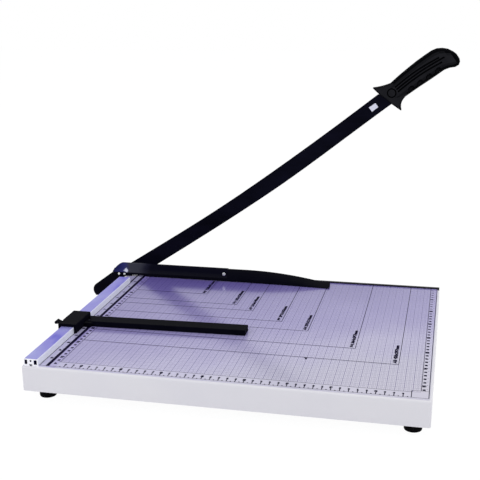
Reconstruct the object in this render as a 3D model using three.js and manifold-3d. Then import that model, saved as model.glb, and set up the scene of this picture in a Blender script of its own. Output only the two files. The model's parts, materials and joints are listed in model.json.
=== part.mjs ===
// Guillotine paper cutter, millimetres, +Z up.
// The origin is the middle of the printed bed's top face.
// +X runs along the cutting line away from the fence, +Y runs towards the blade.
import * as THREE from 'three';
import { mergeVertices } from 'three/addons/utils/BufferGeometryUtils.js';
import Module from 'manifold-3d';

const wasm = await Module();
wasm.setup();

// Shared fits
const seatGap = 0.3;
const boltClearance = 0.25;
const overrun = 1;

// Base tray: folded sheet steel, open underneath, with inward lips
const trayLength = 484;
const trayDepth = 386;
const trayHeight = 31.7;
const traySheet = 1.2;
const trayCorner = 3.2;
const trayTopBend = 2.2;
const traySideLip = 12;
const trayEndLip = 46;

// Printed bed sheet glued on the tray
const bedSheet = 0.6;
const rulerInset = 22.4;
const bedRightMargin = 2.7;
const bedFrontMargin = 3.2;
const bedCorner = 1.5;
const bedEarLeft = 5;

// Stiffening hat channels under the tray
const stiffenerWidth = 34;
const stiffenerHeight = 16;
const stiffenerFlange = 12;
const stiffenerSheet = 1.5;
const stiffenerEndGap = 2;

// Rubber feet and their screws
const footRadius = 11;
const footHeight = 16.5;
const footTaper = 0.6;
const footEdge = 1.4;
const footInsetX = 20;
const footInsetY = 27.5;
const footWellRadius = 5;
const footWellDepth = 7;
const footScrewRadius = 2;
const footScrewHead = 4;
const footScrewHeadHeight = 2.6;
const footNutAcross = 7;
const footNutHeight = 3.2;

// Aluminium fence: extrusion with two cells, a bore and a screw slot
const fenceWidth = 18.2;
const fenceHeight = 9.2;
const fenceToRuler = 1.2;
const fenceFrontInset = 2.5;
const fenceBackInset = 58;
const fenceEdge = 0.8;
const fenceShoulder = 1.6;
const fenceWall = 1.2;
const cellFloor = 2;
const cellRoof = 7.8;
const cellCorner = 0.6;
const leftCellWidth = 3.4;
const boreRadius = 1.3;
const slotMouth = 2.4;
const slotWidth = 4;
const slotHeight = 2.2;
const slotLip = 0.8;
const rightCellWidth = 4;
const fenceScrewRadius = 1;
const fenceScrewHead = 3;
const fenceScrewHeadHeight = 1.8;
const fenceScrewInset = 40;

// Fixed blade: ground bar bolted to the back wall, running on to the pivot
const fixedThick = 4;
const fixedDeep = 27;
const fixedProud = 1.8;
const fixedRightInset = 0.6;
const knifeScrews = 4;
const knifeScrewInset = 48;
const knifeScrewDrop = 13;
const knifeScrewRadius = 2.5;
const knifeScrewHead = 4.6;
const knifeScrewHeadDeep = 2.2;
const knifeNutAcross = 8;
const knifeNutHeight = 4;

// Pivot: place of the bolt's axis seen along Y, and the stack along it
const pivotOutboard = 19.6;
const pivotDrop = 8;
const bracketSheet = 4;
const bracketLobe = 13;
const bracketSideLength = 68;
const bracketHeight = 29;
const bracketTopDrop = 2;
const bracketBolts = 2;
const bracketBoltRadius = 2.5;
const bracketBoltHead = 4.8;
const bracketBoltHeadHeight = 3;
const bracketNutAcross = 8;
const bracketNutHeight = 4;
const pivotBoltRadius = 4;
const pivotHeadAcross = 13;
const pivotHeadHeight = 5.3;
const pivotTail = 3;
const pivotNutAcross = 13;
const pivotNutHeight = 6.5;
const washerRadius = 9;
const washerThick = 1.6;

// Compression spring on the pivot bolt
const springRadius = 6.3;
const springWire = 1.6;
const springLength = 13;
const springTurns = 3.5;
const springSteps = 8;
const springSides = 5;

// Swinging blade, drawn flat with the pivot at zero and the handle along +X
const bladeThick = 3;
const bladeLand = 0.8;
const bladeBevel = 3.2;
const bladeRunGap = 0.3;
const openAngle = 35.5;
const tailLength = 56.6;
const tailTop = 8.6;
const tailCorner = 12;
const heelFlat = 6.4;
const tailBottom = 17;
const rootTop = 9.2;
const rootTopAt = 12.7;
const necking = 4.5;
const neckingAt = 29.6;
const bellyTop = 3.2;
const bellyTopAt = 243;
const tipTop = 3.7;
const tipAt = 499;
const edgeStart = 21;
const edgeStartAt = 64;
const edgeBelly = 26.4;
const edgeBellyAt = 285;
const edgeTip = 18.5;
const edgeTipAt = 508.5;
const tangTop = 1;
const tangBottom = 14;
const tangEnd = 600;
const tangPocketGap = 0.4;
const bladeCurveSteps = 10;
const rootEase = 1;
const edgeTipSwell = 2.5;
const edgeStartSwell = 2;

// Moulded handle: grip, horned guard, grooves, finger dimples and boss ring
const handleSeam = 0.3;
const gripStart = 508;
const gripEnd = 619;
const gripHalf = 12.5;
const hornHalf = 8.2;
const hornTopReach = 9.2;
const hornTopZ = 15.5;
const hornLowBack = 5.9;
const hornLowZ = 33.5;
const hornRootBack = 19;
const hornFilletBack = 28;
const hornRootTop = 7;
const hornRootLow = 20.6;
const hornFrontReach = 2.5;
const hornFrontZ = 8.5;
const hornEase = 1;
const hornSweep = 4;
const hornHollow = 3;
const grooveSteps = 7;
const gripArcSteps = 12;
const dimpleTurn = 0.45;
const bossX = 517.2;
const bossZ = 5.4;
const bossRadius = 6;
const bossGroove = 0.9;
const bossGrooveDeep = 1.2;
const gripGroove = 1.35;
const grooveStartX = 525.5;
const grooveEndX = 604;
const grooveSpacing = 3.7;
const grooveMiddleZ = 5.1;
const grooveArch = 2.3;
const grooveSink = 0.35;
const dimpleCount = 4;
const dimpleStartX = 543;
const dimplePitch = 14.6;
const dimpleZ = 15;
const dimpleLong = 5.2;
const dimpleWide = 3.6;
const dimpleDeep = 2.6;
const handleScrewRadius = 1.5;
const handleScrewHead = 3.2;
const handleScrewHeadHeight = 2.2;
const handleScrewWell = 4.2;
const handleScrewReach = 7;
const rearScrewX = 586;
const rearScrewZ = 7;

// Finger guard over the cutting line: moulded press bar with a steel rail let into its left half
const railLeft = 46;
const railShoulder = 19;
const railShoulderCurve = 1.9;
const railRight = 143.5;
const railSheet = 1.8;
const railHeight = 18.4;
const railLow = 5.2;
const guardFrontSet = 29;
const guardTopSet = 20;
const barLeft = 44;
const barFootRight = 12;
const barArch = 2.4;
const barRight = 300.5;
const barWall = 4;
const barDrop = 1.2;
const paperGap = 0.7;
const barFallStart = 165;
const barTongueLeft = 290;
const barTongueHeight = 5.2;
const barFrontSwing = 5.5;
const barSteps = 22;
const guardSteps = 5;
const guardScrewX = 138.4;
const guardScrewZ = 11.3;
const guardScrewRadius = 1.6;
const guardScrewHead = 2.7;
const guardScrewHeadHeight = 1.5;
const guardScrewLength = 12;
const guardNutAcross = 5.5;
const guardNutHeight = 2.4;
const guardNutGap = 0.8;

// Angle bracket behind the guard's left foot
const angleSheet = 2.5;
const angleLeft = 42;
const angleRight = 13;
const angleUpright = 9.5;
const angleReach = 14;
const footScrews = [31.3, 22.3];
const railScrewRadius = 1.2;
const railScrewHead = 1.9;
const railScrewHeadHeight = 1.2;
const railScrewZ = 2.7;
const railScrewLength = 9;
const angleScrewRadius = 1.6;
const angleScrewHead = 2.8;
const angleScrewHeadHeight = 1.8;
const angleScrewLength = 9;

// Sliding gauge: saddle on the fence, arm across the bed, thumb lever
const saddleLength = 50.5;
const saddleWall = 3;
const saddleRoof = 3.8;
const saddleRun = 0.3;
const saddleCrown = 1.4;
const saddleCentreY = -56.8;
const skirtClear = 0.8;
const lugReach = 10;
const lugWidth = 17;
const lugHeight = 3.2;
const armWidth = 21;
const armHeight = 7.3;
const armLeft = 11.5;
const armEnd = 220.5;
const armSkew = 2;
const armWall = 1.8;
const armRise = 0.4;
const armRibs = 7;
const armTongue = 2;
const armCentreY = -43;
const tongueCentreY = -48;
const armScrewRadius = 1.4;
const armScrewHead = 2.6;
const armScrewHeadHeight = 1.4;
const leverLength = 9;
const leverGap = 0.4;
const leverPinRadius = 0.8;
const leverPinZ = 8.6;
const leverHub = 1.9;
const leverSheet = 1.7;
const leverTabOut = 5.6;
const leverTabTop = 13.4;
const leverFootZ = 3.2;
const leverPadGap = 0.4;
const leverPinReach = 3.6;
const leverBead = 2.2;
const leverInset = 6;

// Places that follow from the sizes above
const bedTop = 0;
const trayTop = bedTop - bedSheet;
const trayBottom = trayTop - trayHeight;
const leftWall = -trayLength / 2;
const rightWall = trayLength / 2;
const frontWall = -trayDepth / 2;
const backWall = trayDepth / 2;
const cutY = backWall + fixedThick;
const rulerZero = leftWall + rulerInset;
const fenceFace = rulerZero - fenceToRuler;
const pivotX = leftWall - pivotOutboard;
const pivotZ = bedTop - pivotDrop;
const bladeFrontY = cutY + bladeRunGap;
const bladeMidY = bladeFrontY + bladeThick / 2;
const hornTopX = gripStart - hornTopReach;
const hornLowX = gripStart + hornLowBack;
const hornRootX = gripStart + hornRootBack;
const hornFrontX = gripStart - hornFrontReach;
const hornFilletX = gripStart + hornFilletBack;

// Solids and booleans

function toSolid(geometry) {
  const bare = geometry.clone();
  bare.deleteAttribute('normal');
  bare.deleteAttribute('uv');
  const welded = mergeVertices(bare, 1e-5);
  const mesh = new wasm.Mesh({
    numProp: 3,
    vertProperties: new Float32Array(welded.attributes.position.array),
    triVerts: new Uint32Array(welded.index.array),
  });
  return new wasm.Manifold(mesh);
}

function toGeometry(solid) {
  const mesh = solid.getMesh();
  const geometry = new THREE.BufferGeometry();
  geometry.setAttribute('position', new THREE.BufferAttribute(new Float32Array(mesh.vertProperties), 3));
  geometry.setIndex(new THREE.BufferAttribute(new Uint32Array(mesh.triVerts), 1));
  geometry.computeVertexNormals();
  return geometry;
}

function cut(solid, ...tools) {
  return tools.reduce((left, tool) => left.subtract(tool), solid);
}

function join(...solids) {
  return solids.reduce((whole, piece) => whole.add(piece));
}

// Block given by its low and high corners
function block(low, high) {
  const size = high.map((value, axis) => value - low[axis]);
  const geometry = new THREE.BoxGeometry(...size);
  geometry.translate(low[0] + size[0] / 2, low[1] + size[1] / 2, low[2] + size[2] / 2);
  return toSolid(geometry);
}

// Cylinder along an axis from one coordinate to another
function rod(axis, radius, from, to, first, second, sides = 20) {
  const geometry = new THREE.CylinderGeometry(radius, radius, to - from, sides);
  const middle = (from + to) / 2;
  if (axis === 'x') {
    geometry.rotateZ(-Math.PI / 2);
    geometry.translate(middle, first, second);
  } else if (axis === 'y') {
    geometry.translate(first, middle, second);
  } else {
    geometry.rotateX(Math.PI / 2);
    geometry.translate(first, second, middle);
  }
  return toSolid(geometry);
}

// Revolved profile of [radius, height] points, its axis along Z, open ends closed on the axis
function turned(profile, sides = 24) {
  const points = profile.map(([radius, height]) => new THREE.Vector2(radius, height));
  const geometry = new THREE.LatheGeometry(points, sides);
  geometry.rotateX(Math.PI / 2);
  return toSolid(geometry);
}

// Turned piece with its axis along +Y or -Y, its zero at the given point
function turnedY(profile, x, y, z, towards, sides = 20) {
  const solid = turned(profile, sides);
  const turn = towards > 0 ? -90 : 90;
  return solid.rotate([turn, 0, 0]).translate([x, y, z]);
}

function extruded(shape, depth, curveSegments = 6) {
  return toSolid(new THREE.ExtrudeGeometry(shape, { depth, bevelEnabled: false, curveSegments }));
}

// Extrusion of a shape drawn in X and Z, running along +Y from the given place
function extrudedY(shape, from, to, curveSegments = 6) {
  return extruded(shape, to - from, curveSegments).rotate([90, 0, 0]).translate([0, to, 0]);
}

const hexSides = 6;

function hexRadius(across) {
  return across / 2 / Math.cos(Math.PI / hexSides);
}

function hexagon(across) {
  const shape = new THREE.Shape();
  const radius = hexRadius(across);
  for (let corner = 0; corner < hexSides; corner += 1) {
    const angle = (2 * Math.PI * corner) / hexSides;
    const point = [radius * Math.cos(angle), radius * Math.sin(angle)];
    if (corner === 0) {
      shape.moveTo(...point);
    } else {
      shape.lineTo(...point);
    }
  }
  shape.closePath();
  return shape;
}

function roundedBox(low, high, radius) {
  const shape = new THREE.Shape();
  shape.moveTo(low[0] + radius, low[1]);
  shape.lineTo(high[0] - radius, low[1]);
  shape.absarc(high[0] - radius, low[1] + radius, radius, -Math.PI / 2, 0);
  shape.lineTo(high[0], high[1] - radius);
  shape.absarc(high[0] - radius, high[1] - radius, radius, 0, Math.PI / 2);
  shape.lineTo(low[0] + radius, high[1]);
  shape.absarc(low[0] + radius, high[1] - radius, radius, Math.PI / 2, Math.PI);
  shape.lineTo(low[0], low[1] + radius);
  shape.absarc(low[0] + radius, low[1] + radius, radius, Math.PI, 1.5 * Math.PI);
  return shape;
}

// Closed body through rings of points, all with the same count, capped at both ends
function loft(rings, flatten) {
  const count = rings[0].length;
  const places = rings.flat();
  const index = [];
  for (let ring = 0; ring < rings.length - 1; ring += 1) {
    for (let point = 0; point < count; point += 1) {
      const next = (point + 1) % count;
      const a = ring * count + point;
      const b = ring * count + next;
      index.push(a, b, b + count, a, b + count, a + count);
    }
  }
  const last = (rings.length - 1) * count;
  const firstCap = THREE.ShapeUtils.triangulateShape(rings[0].map(flatten), []);
  const lastCap = THREE.ShapeUtils.triangulateShape(rings.at(-1).map(flatten), []);
  const turn = Math.sign(THREE.ShapeUtils.area(rings[0].map(flatten)));
  const lastTurn = Math.sign(THREE.ShapeUtils.area(rings.at(-1).map(flatten)));
  for (const [a, b, c] of firstCap) {
    index.push(...(turn * triangleTurn(rings[0].map(flatten), a, b, c) > 0 ? [c, b, a] : [a, b, c]));
  }
  for (const [a, b, c] of lastCap) {
    const forward = lastTurn * triangleTurn(rings.at(-1).map(flatten), a, b, c) > 0;
    const face = forward ? [a, b, c] : [c, b, a];
    index.push(...face.map((vertex) => vertex + last));
  }
  const geometry = new THREE.BufferGeometry();
  geometry.setAttribute('position', new THREE.Float32BufferAttribute(places.flatMap((p) => p.toArray()), 3));
  geometry.setIndex(index);
  return toSolid(outward(geometry));
}

function triangleTurn(points, a, b, c) {
  const [p, q, r] = [points[a], points[b], points[c]];
  return Math.sign((q.x - p.x) * (r.y - p.y) - (q.y - p.y) * (r.x - p.x));
}

// Turns every face of a closed body over when its volume comes out negative
function outward(geometry) {
  const position = geometry.attributes.position;
  const index = geometry.index.array;
  const corners = [new THREE.Vector3(), new THREE.Vector3(), new THREE.Vector3()];
  let volume = 0;
  for (let face = 0; face < index.length; face += 3) {
    corners.forEach((corner, k) => corner.fromBufferAttribute(position, index[face + k]));
    volume += corners[0].dot(corners[1].cross(corners[2]));
  }
  if (volume < 0) {
    for (let face = 0; face < index.length; face += 3) {
      [index[face], index[face + 1]] = [index[face + 1], index[face]];
    }
  }
  return geometry;
}

const group = new THREE.Group();
const bladeGroup = new THREE.Group();
bladeGroup.position.set(pivotX, 0, pivotZ);
bladeGroup.rotation.y = THREE.MathUtils.degToRad(-openAngle);
group.add(bladeGroup);

function finish(color, roughness, metalness) {
  return { color, roughness, metalness };
}

const paleEnamel = finish('#d6d5df', 0.42, 0.1);
const printFilm = finish('#b3abd6', 0.18, 0);
const anodised = finish('#b4b2dc', 0.34, 0.85);
const blackSteel = finish('#0d0d16', 0.24, 0.5);
const groundSteel = finish('#3b3c44', 0.3, 0.9);
const blackPlastic = finish('#1d1d20', 0.5, 0);
const zinc = finish('#b9bbbf', 0.28, 0.95);
const rubber = finish('#0c0c0d', 0.8, 0);

function node(name, solid, look, parent = group) {
  const mesh = new THREE.Mesh(toGeometry(solid), new THREE.MeshStandardMaterial(look));
  mesh.name = name;
  parent.add(mesh);
  return mesh;
}

// Fasteners: each returns one solid with its seat at y = 0 or z = 0

// Domed head of a screw and its shank, along -Z from the seat
function panScrew(radius, head, headHeight, length, sides = 12) {
  const dome = headHeight / 2;
  return turned([
    [0, -length],
    [radius * 0.8, -length],
    [radius, -length + radius * 0.4],
    [radius, 0],
    [head, 0],
    [head, dome],
    [head * 0.8, headHeight * 0.85],
    [0, headHeight],
  ], sides);
}

function slotAcross(head, headHeight) {
  const half = head * 0.14;
  return block([-head - overrun, -half, headHeight * 0.6], [head + overrun, half, headHeight + overrun]);
}

function hexNut(across, height, hole) {
  return cut(extruded(hexagon(across), height), rod('z', hole, -overrun, height + overrun, 0, 0, 16));
}

function ringWasher(outer, thick, hole) {
  return cut(rod('z', outer, 0, thick, 0, 0), rod('z', hole, -overrun, thick + overrun, 0, 0, 16));
}

// Base tray

function trayRing(inset, z, radius) {
  const low = [leftWall + inset, frontWall + inset];
  const high = [rightWall - inset, backWall - inset];
  const outline = roundedBox(low, high, Math.max(radius, traySheet)).getPoints(5);
  return outline.slice(0, -1).map((p) => new THREE.Vector3(p.x, p.y, z));
}

const feetPlaces = [];
for (const sideX of [-1, 1]) {
  for (const sideY of [-1, 1]) {
    feetPlaces.push([sideX * (trayLength / 2 - footInsetX), sideY * (trayDepth / 2 - footInsetY)]);
  }
}

const knifeSpan = trayLength - 2 * knifeScrewInset;
const knifePlaces = Array.from({ length: knifeScrews }, (_, k) => leftWall + knifeScrewInset
  + (k * knifeSpan) / (knifeScrews - 1));
const knifeZ = trayTop - knifeScrewDrop;

const bracketFront = backWall - bracketSideLength;
const bracketPlaces = Array.from({ length: bracketBolts }, (_, k) => bracketFront
  + (bracketSideLength * (k + 0.6)) / (bracketBolts + 0.2));
const bracketBoltZ = trayTop - bracketTopDrop - bracketHeight / 2;

const fenceFrontY = frontWall + fenceFrontInset;
const fenceBackY = backWall - fenceBackInset;
const fenceMiddleX = fenceFace - fenceWidth / 2;
const fencePlaces = [fenceFrontY + fenceScrewInset, fenceBackY - fenceScrewInset];

const guardFrontY = cutY - guardFrontSet;
const guardTopY = cutY - guardTopSet;
const angleFrontY = guardFrontY + barWall + seatGap;
const angleScrewY = angleFrontY + angleReach - 2 * angleScrewHead;
const angleScrewX = rulerZero - angleRight - 1.5 * angleScrewHead;

function makeTray() {
  const bend = [];
  const bendSteps = 3;
  for (let step = 0; step <= bendSteps; step += 1) {
    const angle = (step * Math.PI) / 2 / bendSteps;
    const inset = trayTopBend * (1 - Math.cos(angle));
    bend.push(trayRing(inset, trayTop - trayTopBend * (1 - Math.sin(angle)), trayCorner - inset));
  }
  const flat = (p) => new THREE.Vector2(p.x, p.y);
  const shell = loft([trayRing(0, trayBottom, trayCorner), ...bend], flat);
  const inner = loft([
    trayRing(traySheet, trayBottom + traySheet, trayCorner - traySheet),
    trayRing(traySheet, trayTop - trayTopBend, trayCorner - traySheet),
    trayRing(trayTopBend, trayTop - traySheet, trayCorner - trayTopBend),
  ], flat);
  const mouth = block(
    [leftWall + traySideLip, frontWall + trayEndLip, trayBottom - overrun],
    [rightWall - traySideLip, backWall - trayEndLip, trayBottom + traySheet + overrun],
  );
  const holes = [];
  for (const [x, y] of feetPlaces) {
    holes.push(rod('z', footScrewRadius + boltClearance, trayBottom - overrun, trayBottom + 2 * traySheet, x, y, 12));
  }
  for (const x of knifePlaces) {
    holes.push(rod('y', knifeScrewRadius + boltClearance, backWall - 2 * traySheet, backWall + overrun, x, knifeZ, 12));
  }
  for (const y of bracketPlaces) {
    const reach = leftWall + 2 * traySheet;
    holes.push(rod('x', bracketBoltRadius + boltClearance, leftWall - overrun, reach, y, bracketBoltZ, 12));
  }
  for (const y of fencePlaces) {
    const start = trayTop - 2 * traySheet;
    holes.push(rod('z', fenceScrewRadius + boltClearance, start, trayTop + overrun, fenceMiddleX, y, 12));
  }
  const angleStart = trayTop - 2 * traySheet;
  holes.push(rod('z', angleScrewRadius + boltClearance, angleStart, trayTop + overrun, angleScrewX, angleScrewY, 12));
  return cut(shell, inner, mouth, ...holes);
}

node('base_tray', makeTray(), paleEnamel);

// Printed bed sheet, from the fence face to the right and front margins
const bedLow = [fenceFace + seatGap, frontWall + bedFrontMargin];
const bedHigh = [rightWall - bedRightMargin, backWall - seatGap];
const bedBody = extruded(roundedBox(bedLow, bedHigh, bedCorner), bedSheet, 4);

// Ear of the sheet that fills the place behind the fence's end
const earLow = [leftWall + bedEarLeft, fenceBackY + seatGap];
const earHigh = [bedLow[0] + 2 * bedCorner, guardFrontY - seatGap];
const bedEar = extruded(roundedBox(earLow, earHigh, bedCorner), bedSheet, 4);
node('printed_bed', join(bedBody, bedEar).translate([0, 0, trayTop]), printFilm);

// Stiffeners: hat channels running front to back under the bed
function makeStiffener(x) {
  const half = stiffenerWidth / 2;
  const foot = half + stiffenerFlange;
  const top = trayTop - traySheet;
  const shape = new THREE.Shape();
  shape.moveTo(x - foot, top);
  shape.lineTo(x - half, top);
  shape.lineTo(x - half + stiffenerSheet, top - stiffenerHeight + stiffenerSheet);
  shape.lineTo(x + half - stiffenerSheet, top - stiffenerHeight + stiffenerSheet);
  shape.lineTo(x + half, top);
  shape.lineTo(x + foot, top);
  shape.lineTo(x + foot, top - stiffenerSheet);
  shape.lineTo(x + half + stiffenerSheet, top - stiffenerSheet);
  shape.lineTo(x + half, top - stiffenerHeight);
  shape.lineTo(x - half, top - stiffenerHeight);
  shape.lineTo(x - half - stiffenerSheet, top - stiffenerSheet);
  shape.lineTo(x - foot, top - stiffenerSheet);
  shape.closePath();
  const ends = traySheet + knifeNutHeight + stiffenerEndGap;
  return extrudedY(shape, frontWall + ends, backWall - ends);
}

node('stiffener_left', makeStiffener(-trayLength / 6), paleEnamel);
node('stiffener_right', makeStiffener(trayLength / 6), paleEnamel);

// Rubber feet with a screw sunk in each

function makeFoot(x, y) {
  const top = footHeight;
  const tip = footRadius - footTaper;
  const bore = footScrewRadius + boltClearance;
  return turned([
    [bore, footWellDepth],
    [footWellRadius, footWellDepth],
    [footWellRadius, 0],
    [tip - footEdge, 0],
    [tip - footEdge * 0.3, footEdge * 0.3],
    [tip, footEdge],
    [footRadius, top],
    [bore, top],
    [bore, footWellDepth],
  ]).translate([x, y, trayBottom - footHeight]);
}

const cornerNames = ['front_left', 'back_left', 'front_right', 'back_right'];
feetPlaces.forEach(([x, y], k) => {
  node(`foot_${cornerNames[k]}`, makeFoot(x, y), rubber);
  const lipTop = trayBottom + traySheet;
  const seat = trayBottom - footHeight + footWellDepth - seatGap;
  const length = lipTop + footNutHeight + 1.5 * footScrewRadius - seat;
  const screw = panScrew(footScrewRadius, footScrewHead, footScrewHeadHeight, length)
    .rotate([180, 0, 0])
    .translate([x, y, seat]);
  node(`foot_screw_${cornerNames[k]}`, screw, zinc);
  const nut = hexNut(footNutAcross, footNutHeight, footScrewRadius + boltClearance).translate([x, y, lipTop]);
  node(`foot_nut_${cornerNames[k]}`, nut, zinc);
});

// Fence: extruded profile with two closed cells, a bore and a screw slot underneath

function fenceCell(left, width) {
  const low = [left, trayTop + cellFloor];
  const high = [left + width, trayTop + cellRoof];
  return roundedBox(low, high, cellCorner);
}

function makeFence() {
  const left = fenceFace - fenceWidth;
  const bottom = trayTop;
  const top = bottom + fenceHeight;
  const outline = new THREE.Shape();
  outline.moveTo(left + fenceShoulder, top);
  outline.quadraticCurveTo(left + fenceShoulder / 4, top, left, top - fenceShoulder);
  outline.lineTo(left, bottom);
  outline.lineTo(fenceMiddleX - slotMouth / 2, bottom);
  outline.lineTo(fenceMiddleX - slotMouth / 2, bottom + slotLip);
  outline.lineTo(fenceMiddleX - slotWidth / 2, bottom + slotLip);
  outline.lineTo(fenceMiddleX - slotWidth / 2, bottom + slotHeight);
  outline.lineTo(fenceMiddleX + slotWidth / 2, bottom + slotHeight);
  outline.lineTo(fenceMiddleX + slotWidth / 2, bottom + slotLip);
  outline.lineTo(fenceMiddleX + slotMouth / 2, bottom + slotLip);
  outline.lineTo(fenceMiddleX + slotMouth / 2, bottom);
  outline.lineTo(fenceFace, bottom);
  outline.lineTo(fenceFace, top - fenceEdge);
  outline.lineTo(fenceFace - fenceEdge, top);
  outline.closePath();
  const bore = new THREE.Path();
  bore.absarc(fenceMiddleX, bottom + cellRoof - boreRadius, boreRadius, 0, 2 * Math.PI);
  const leftCell = fenceCell(left + fenceWall, leftCellWidth);
  const rightCell = fenceCell(fenceFace - fenceWall - rightCellWidth, rightCellWidth);
  outline.holes.push(bore, leftCell, rightCell);
  return extrudedY(outline, fenceFrontY, fenceBackY, 4);
}

node('fence', makeFence(), anodised);

// Screws from under the tray into the fence's slot
fencePlaces.forEach((y, k) => {
  const seat = trayTop - traySheet;
  const length = traySheet + slotHeight - seatGap;
  const screw = panScrew(fenceScrewRadius, fenceScrewHead, fenceScrewHeadHeight, length, 12)
    .rotate([180, 0, 0])
    .translate([fenceMiddleX, y, seat]);
  node(`fence_screw_${k + 1}`, screw, zinc);
});

// Fixed blade: bar on the back wall whose left end carries the pivot

const fixedTop = bedTop + fixedProud;
const knifeSeatY = cutY - knifeScrewHeadDeep - seatGap;
const pivotHole = pivotBoltRadius + boltClearance;

function lobeShape(x, z, lobe, right, top, bottom) {
  const shape = new THREE.Shape();
  shape.moveTo(right, bottom);
  shape.lineTo(right, top);
  shape.lineTo(x, top);
  shape.absarc(x, z, lobe, Math.PI / 2, Math.PI);
  shape.lineTo(x - lobe, bottom + lobe);
  shape.absarc(x, bottom + lobe, lobe, Math.PI, 1.5 * Math.PI);
  shape.closePath();
  return shape;
}

function makeFixedBlade() {
  const top = fixedTop;
  const bottom = top - fixedDeep;
  const right = rightWall - fixedRightInset;
  const lobe = bracketLobe;
  const shape = new THREE.Shape();
  shape.moveTo(right, bottom);
  shape.lineTo(right, top);
  shape.lineTo(fenceFace, top);
  shape.lineTo(pivotX, fixedTop - seatGap);
  shape.absarc(pivotX, fixedTop - seatGap - lobe, lobe, Math.PI / 2, Math.PI * 1.25);
  shape.lineTo(leftWall, bottom);
  shape.closePath();
  const bar = extrudedY(shape, backWall, cutY);
  const sinks = knifePlaces.map((x) => join(
    rod('y', knifeScrewRadius + boltClearance, backWall - overrun, cutY + overrun, x, knifeZ, 12),
    sinkCone(x),
  ));
  return cut(bar, rod('y', pivotHole, backWall - overrun, cutY + overrun, pivotX, pivotZ), ...sinks);
}

// Countersink for a flat head that ends just under the cutting face
function sinkCone(x) {
  const wide = knifeScrewHead + boltClearance;
  const profile = [
    [0, 0],
    [knifeScrewRadius + boltClearance, 0],
    [wide, knifeScrewHeadDeep],
    [wide, knifeScrewHeadDeep + seatGap + overrun],
    [0, knifeScrewHeadDeep + seatGap + overrun],
  ];
  return turnedY(profile, x, knifeSeatY, knifeZ, 1, 16);
}

node('fixed_blade', makeFixedBlade(), groundSteel);

knifePlaces.forEach((x, k) => {
  const length = fixedThick + traySheet + knifeNutHeight + overrun - knifeScrewHeadDeep;
  const profile = [
    [0, -length],
    [knifeScrewRadius, -length],
    [knifeScrewRadius, 0],
    [knifeScrewHead, knifeScrewHeadDeep],
    [0, knifeScrewHeadDeep],
  ];
  const socket = block(
    [x - knifeScrewHead * 0.7, cutY - knifeScrewHeadDeep * 0.7, knifeZ - knifeScrewHead * 0.12],
    [x + knifeScrewHead * 0.7, cutY + overrun, knifeZ + knifeScrewHead * 0.12],
  );
  node(`knife_screw_${k + 1}`, cut(turnedY(profile, x, knifeSeatY, knifeZ, 1, 16), socket), zinc);
  const nut = hexNut(knifeNutAcross, knifeNutHeight, knifeScrewRadius + boltClearance)
    .rotate([90, 0, 0])
    .translate([x, backWall - traySheet, knifeZ]);
  node(`knife_nut_${k + 1}`, nut, zinc);
});

// Pivot bracket: bent plate on the tray's left wall, backing the fixed blade

function makeBracket() {
  const top = trayTop - bracketTopDrop;
  const bottom = top - bracketHeight;
  const outer = leftWall - bracketSheet;
  const sideShape = new THREE.Shape();
  const nose = bracketHeight / 3;
  sideShape.moveTo(backWall, bottom);
  sideShape.lineTo(backWall, top);
  sideShape.lineTo(bracketFront + nose, top);
  sideShape.absarc(bracketFront + nose, top - nose, nose, Math.PI / 2, Math.PI);
  sideShape.lineTo(bracketFront, bottom + nose);
  sideShape.absarc(bracketFront + nose, bottom + nose, nose, Math.PI, 1.5 * Math.PI);
  sideShape.closePath();
  const side = extruded(sideShape, bracketSheet).rotate([90, 0, 90]).translate([outer, 0, 0]);
  const faceLeft = pivotX;
  const face = extrudedY(lobeShape(faceLeft, top - bracketLobe, bracketLobe, leftWall, top, bottom),
    backWall - bracketSheet, backWall);
  const holes = bracketPlaces.map((y) => rod('x', bracketBoltRadius + boltClearance, outer - overrun,
    leftWall + overrun, y, bracketBoltZ, 12));
  const pin = rod('y', pivotHole, backWall - bracketSheet - overrun, backWall + overrun, pivotX, pivotZ);
  return cut(join(side, face), pin, ...holes);
}

node('pivot_bracket', makeBracket(), blackSteel);

bracketPlaces.forEach((y, k) => {
  const seat = leftWall - bracketSheet;
  const length = bracketSheet + traySheet + bracketNutHeight + 2 * overrun;
  const bolt = panScrew(bracketBoltRadius, bracketBoltHead, bracketBoltHeadHeight, length)
    .rotate([0, -90, 0])
    .translate([seat, y, bracketBoltZ]);
  node(`bracket_bolt_${k + 1}`, bolt, zinc);
  const nut = hexNut(bracketNutAcross, bracketNutHeight, bracketBoltRadius + boltClearance)
    .rotate([0, 90, 0])
    .translate([leftWall + traySheet, y, bracketBoltZ]);
  node(`bracket_nut_${k + 1}`, nut, zinc);
});

// Pivot stack along Y: head, washer, bracket, fixed blade, swinging blade, washer, spring, washer, nut

const headWasherY = backWall - bracketSheet - washerThick;
const bladeBackY = bladeFrontY + bladeThick;
const rearWasherY = bladeBackY + bladeRunGap;
const springY = rearWasherY + washerThick;
const springWasherY = springY + springLength;
const lockNutY = springWasherY + washerThick;
const boltEndY = lockNutY + pivotNutHeight + pivotTail;

function alongY(solid, y) {
  return solid.rotate([-90, 0, 0]).translate([pivotX, y, pivotZ]);
}

const pivotHead = extruded(hexagon(pivotHeadAcross), pivotHeadHeight);
const pivotShank = rod('z', pivotBoltRadius, pivotHeadHeight - overrun, boltEndY - headWasherY + pivotHeadHeight, 0, 0);
node('pivot_bolt', alongY(join(pivotHead, pivotShank), headWasherY - pivotHeadHeight), blackSteel);
node('pivot_washer_front', alongY(ringWasher(washerRadius, washerThick, pivotHole), headWasherY), blackSteel);
node('pivot_washer_blade', alongY(ringWasher(washerRadius, washerThick, pivotHole), rearWasherY), zinc);
node('pivot_washer_nut', alongY(ringWasher(washerRadius, washerThick, pivotHole), springWasherY), zinc);
node('pivot_lock_nut', alongY(hexNut(pivotNutAcross, pivotNutHeight, pivotHole), lockNutY), zinc);

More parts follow.
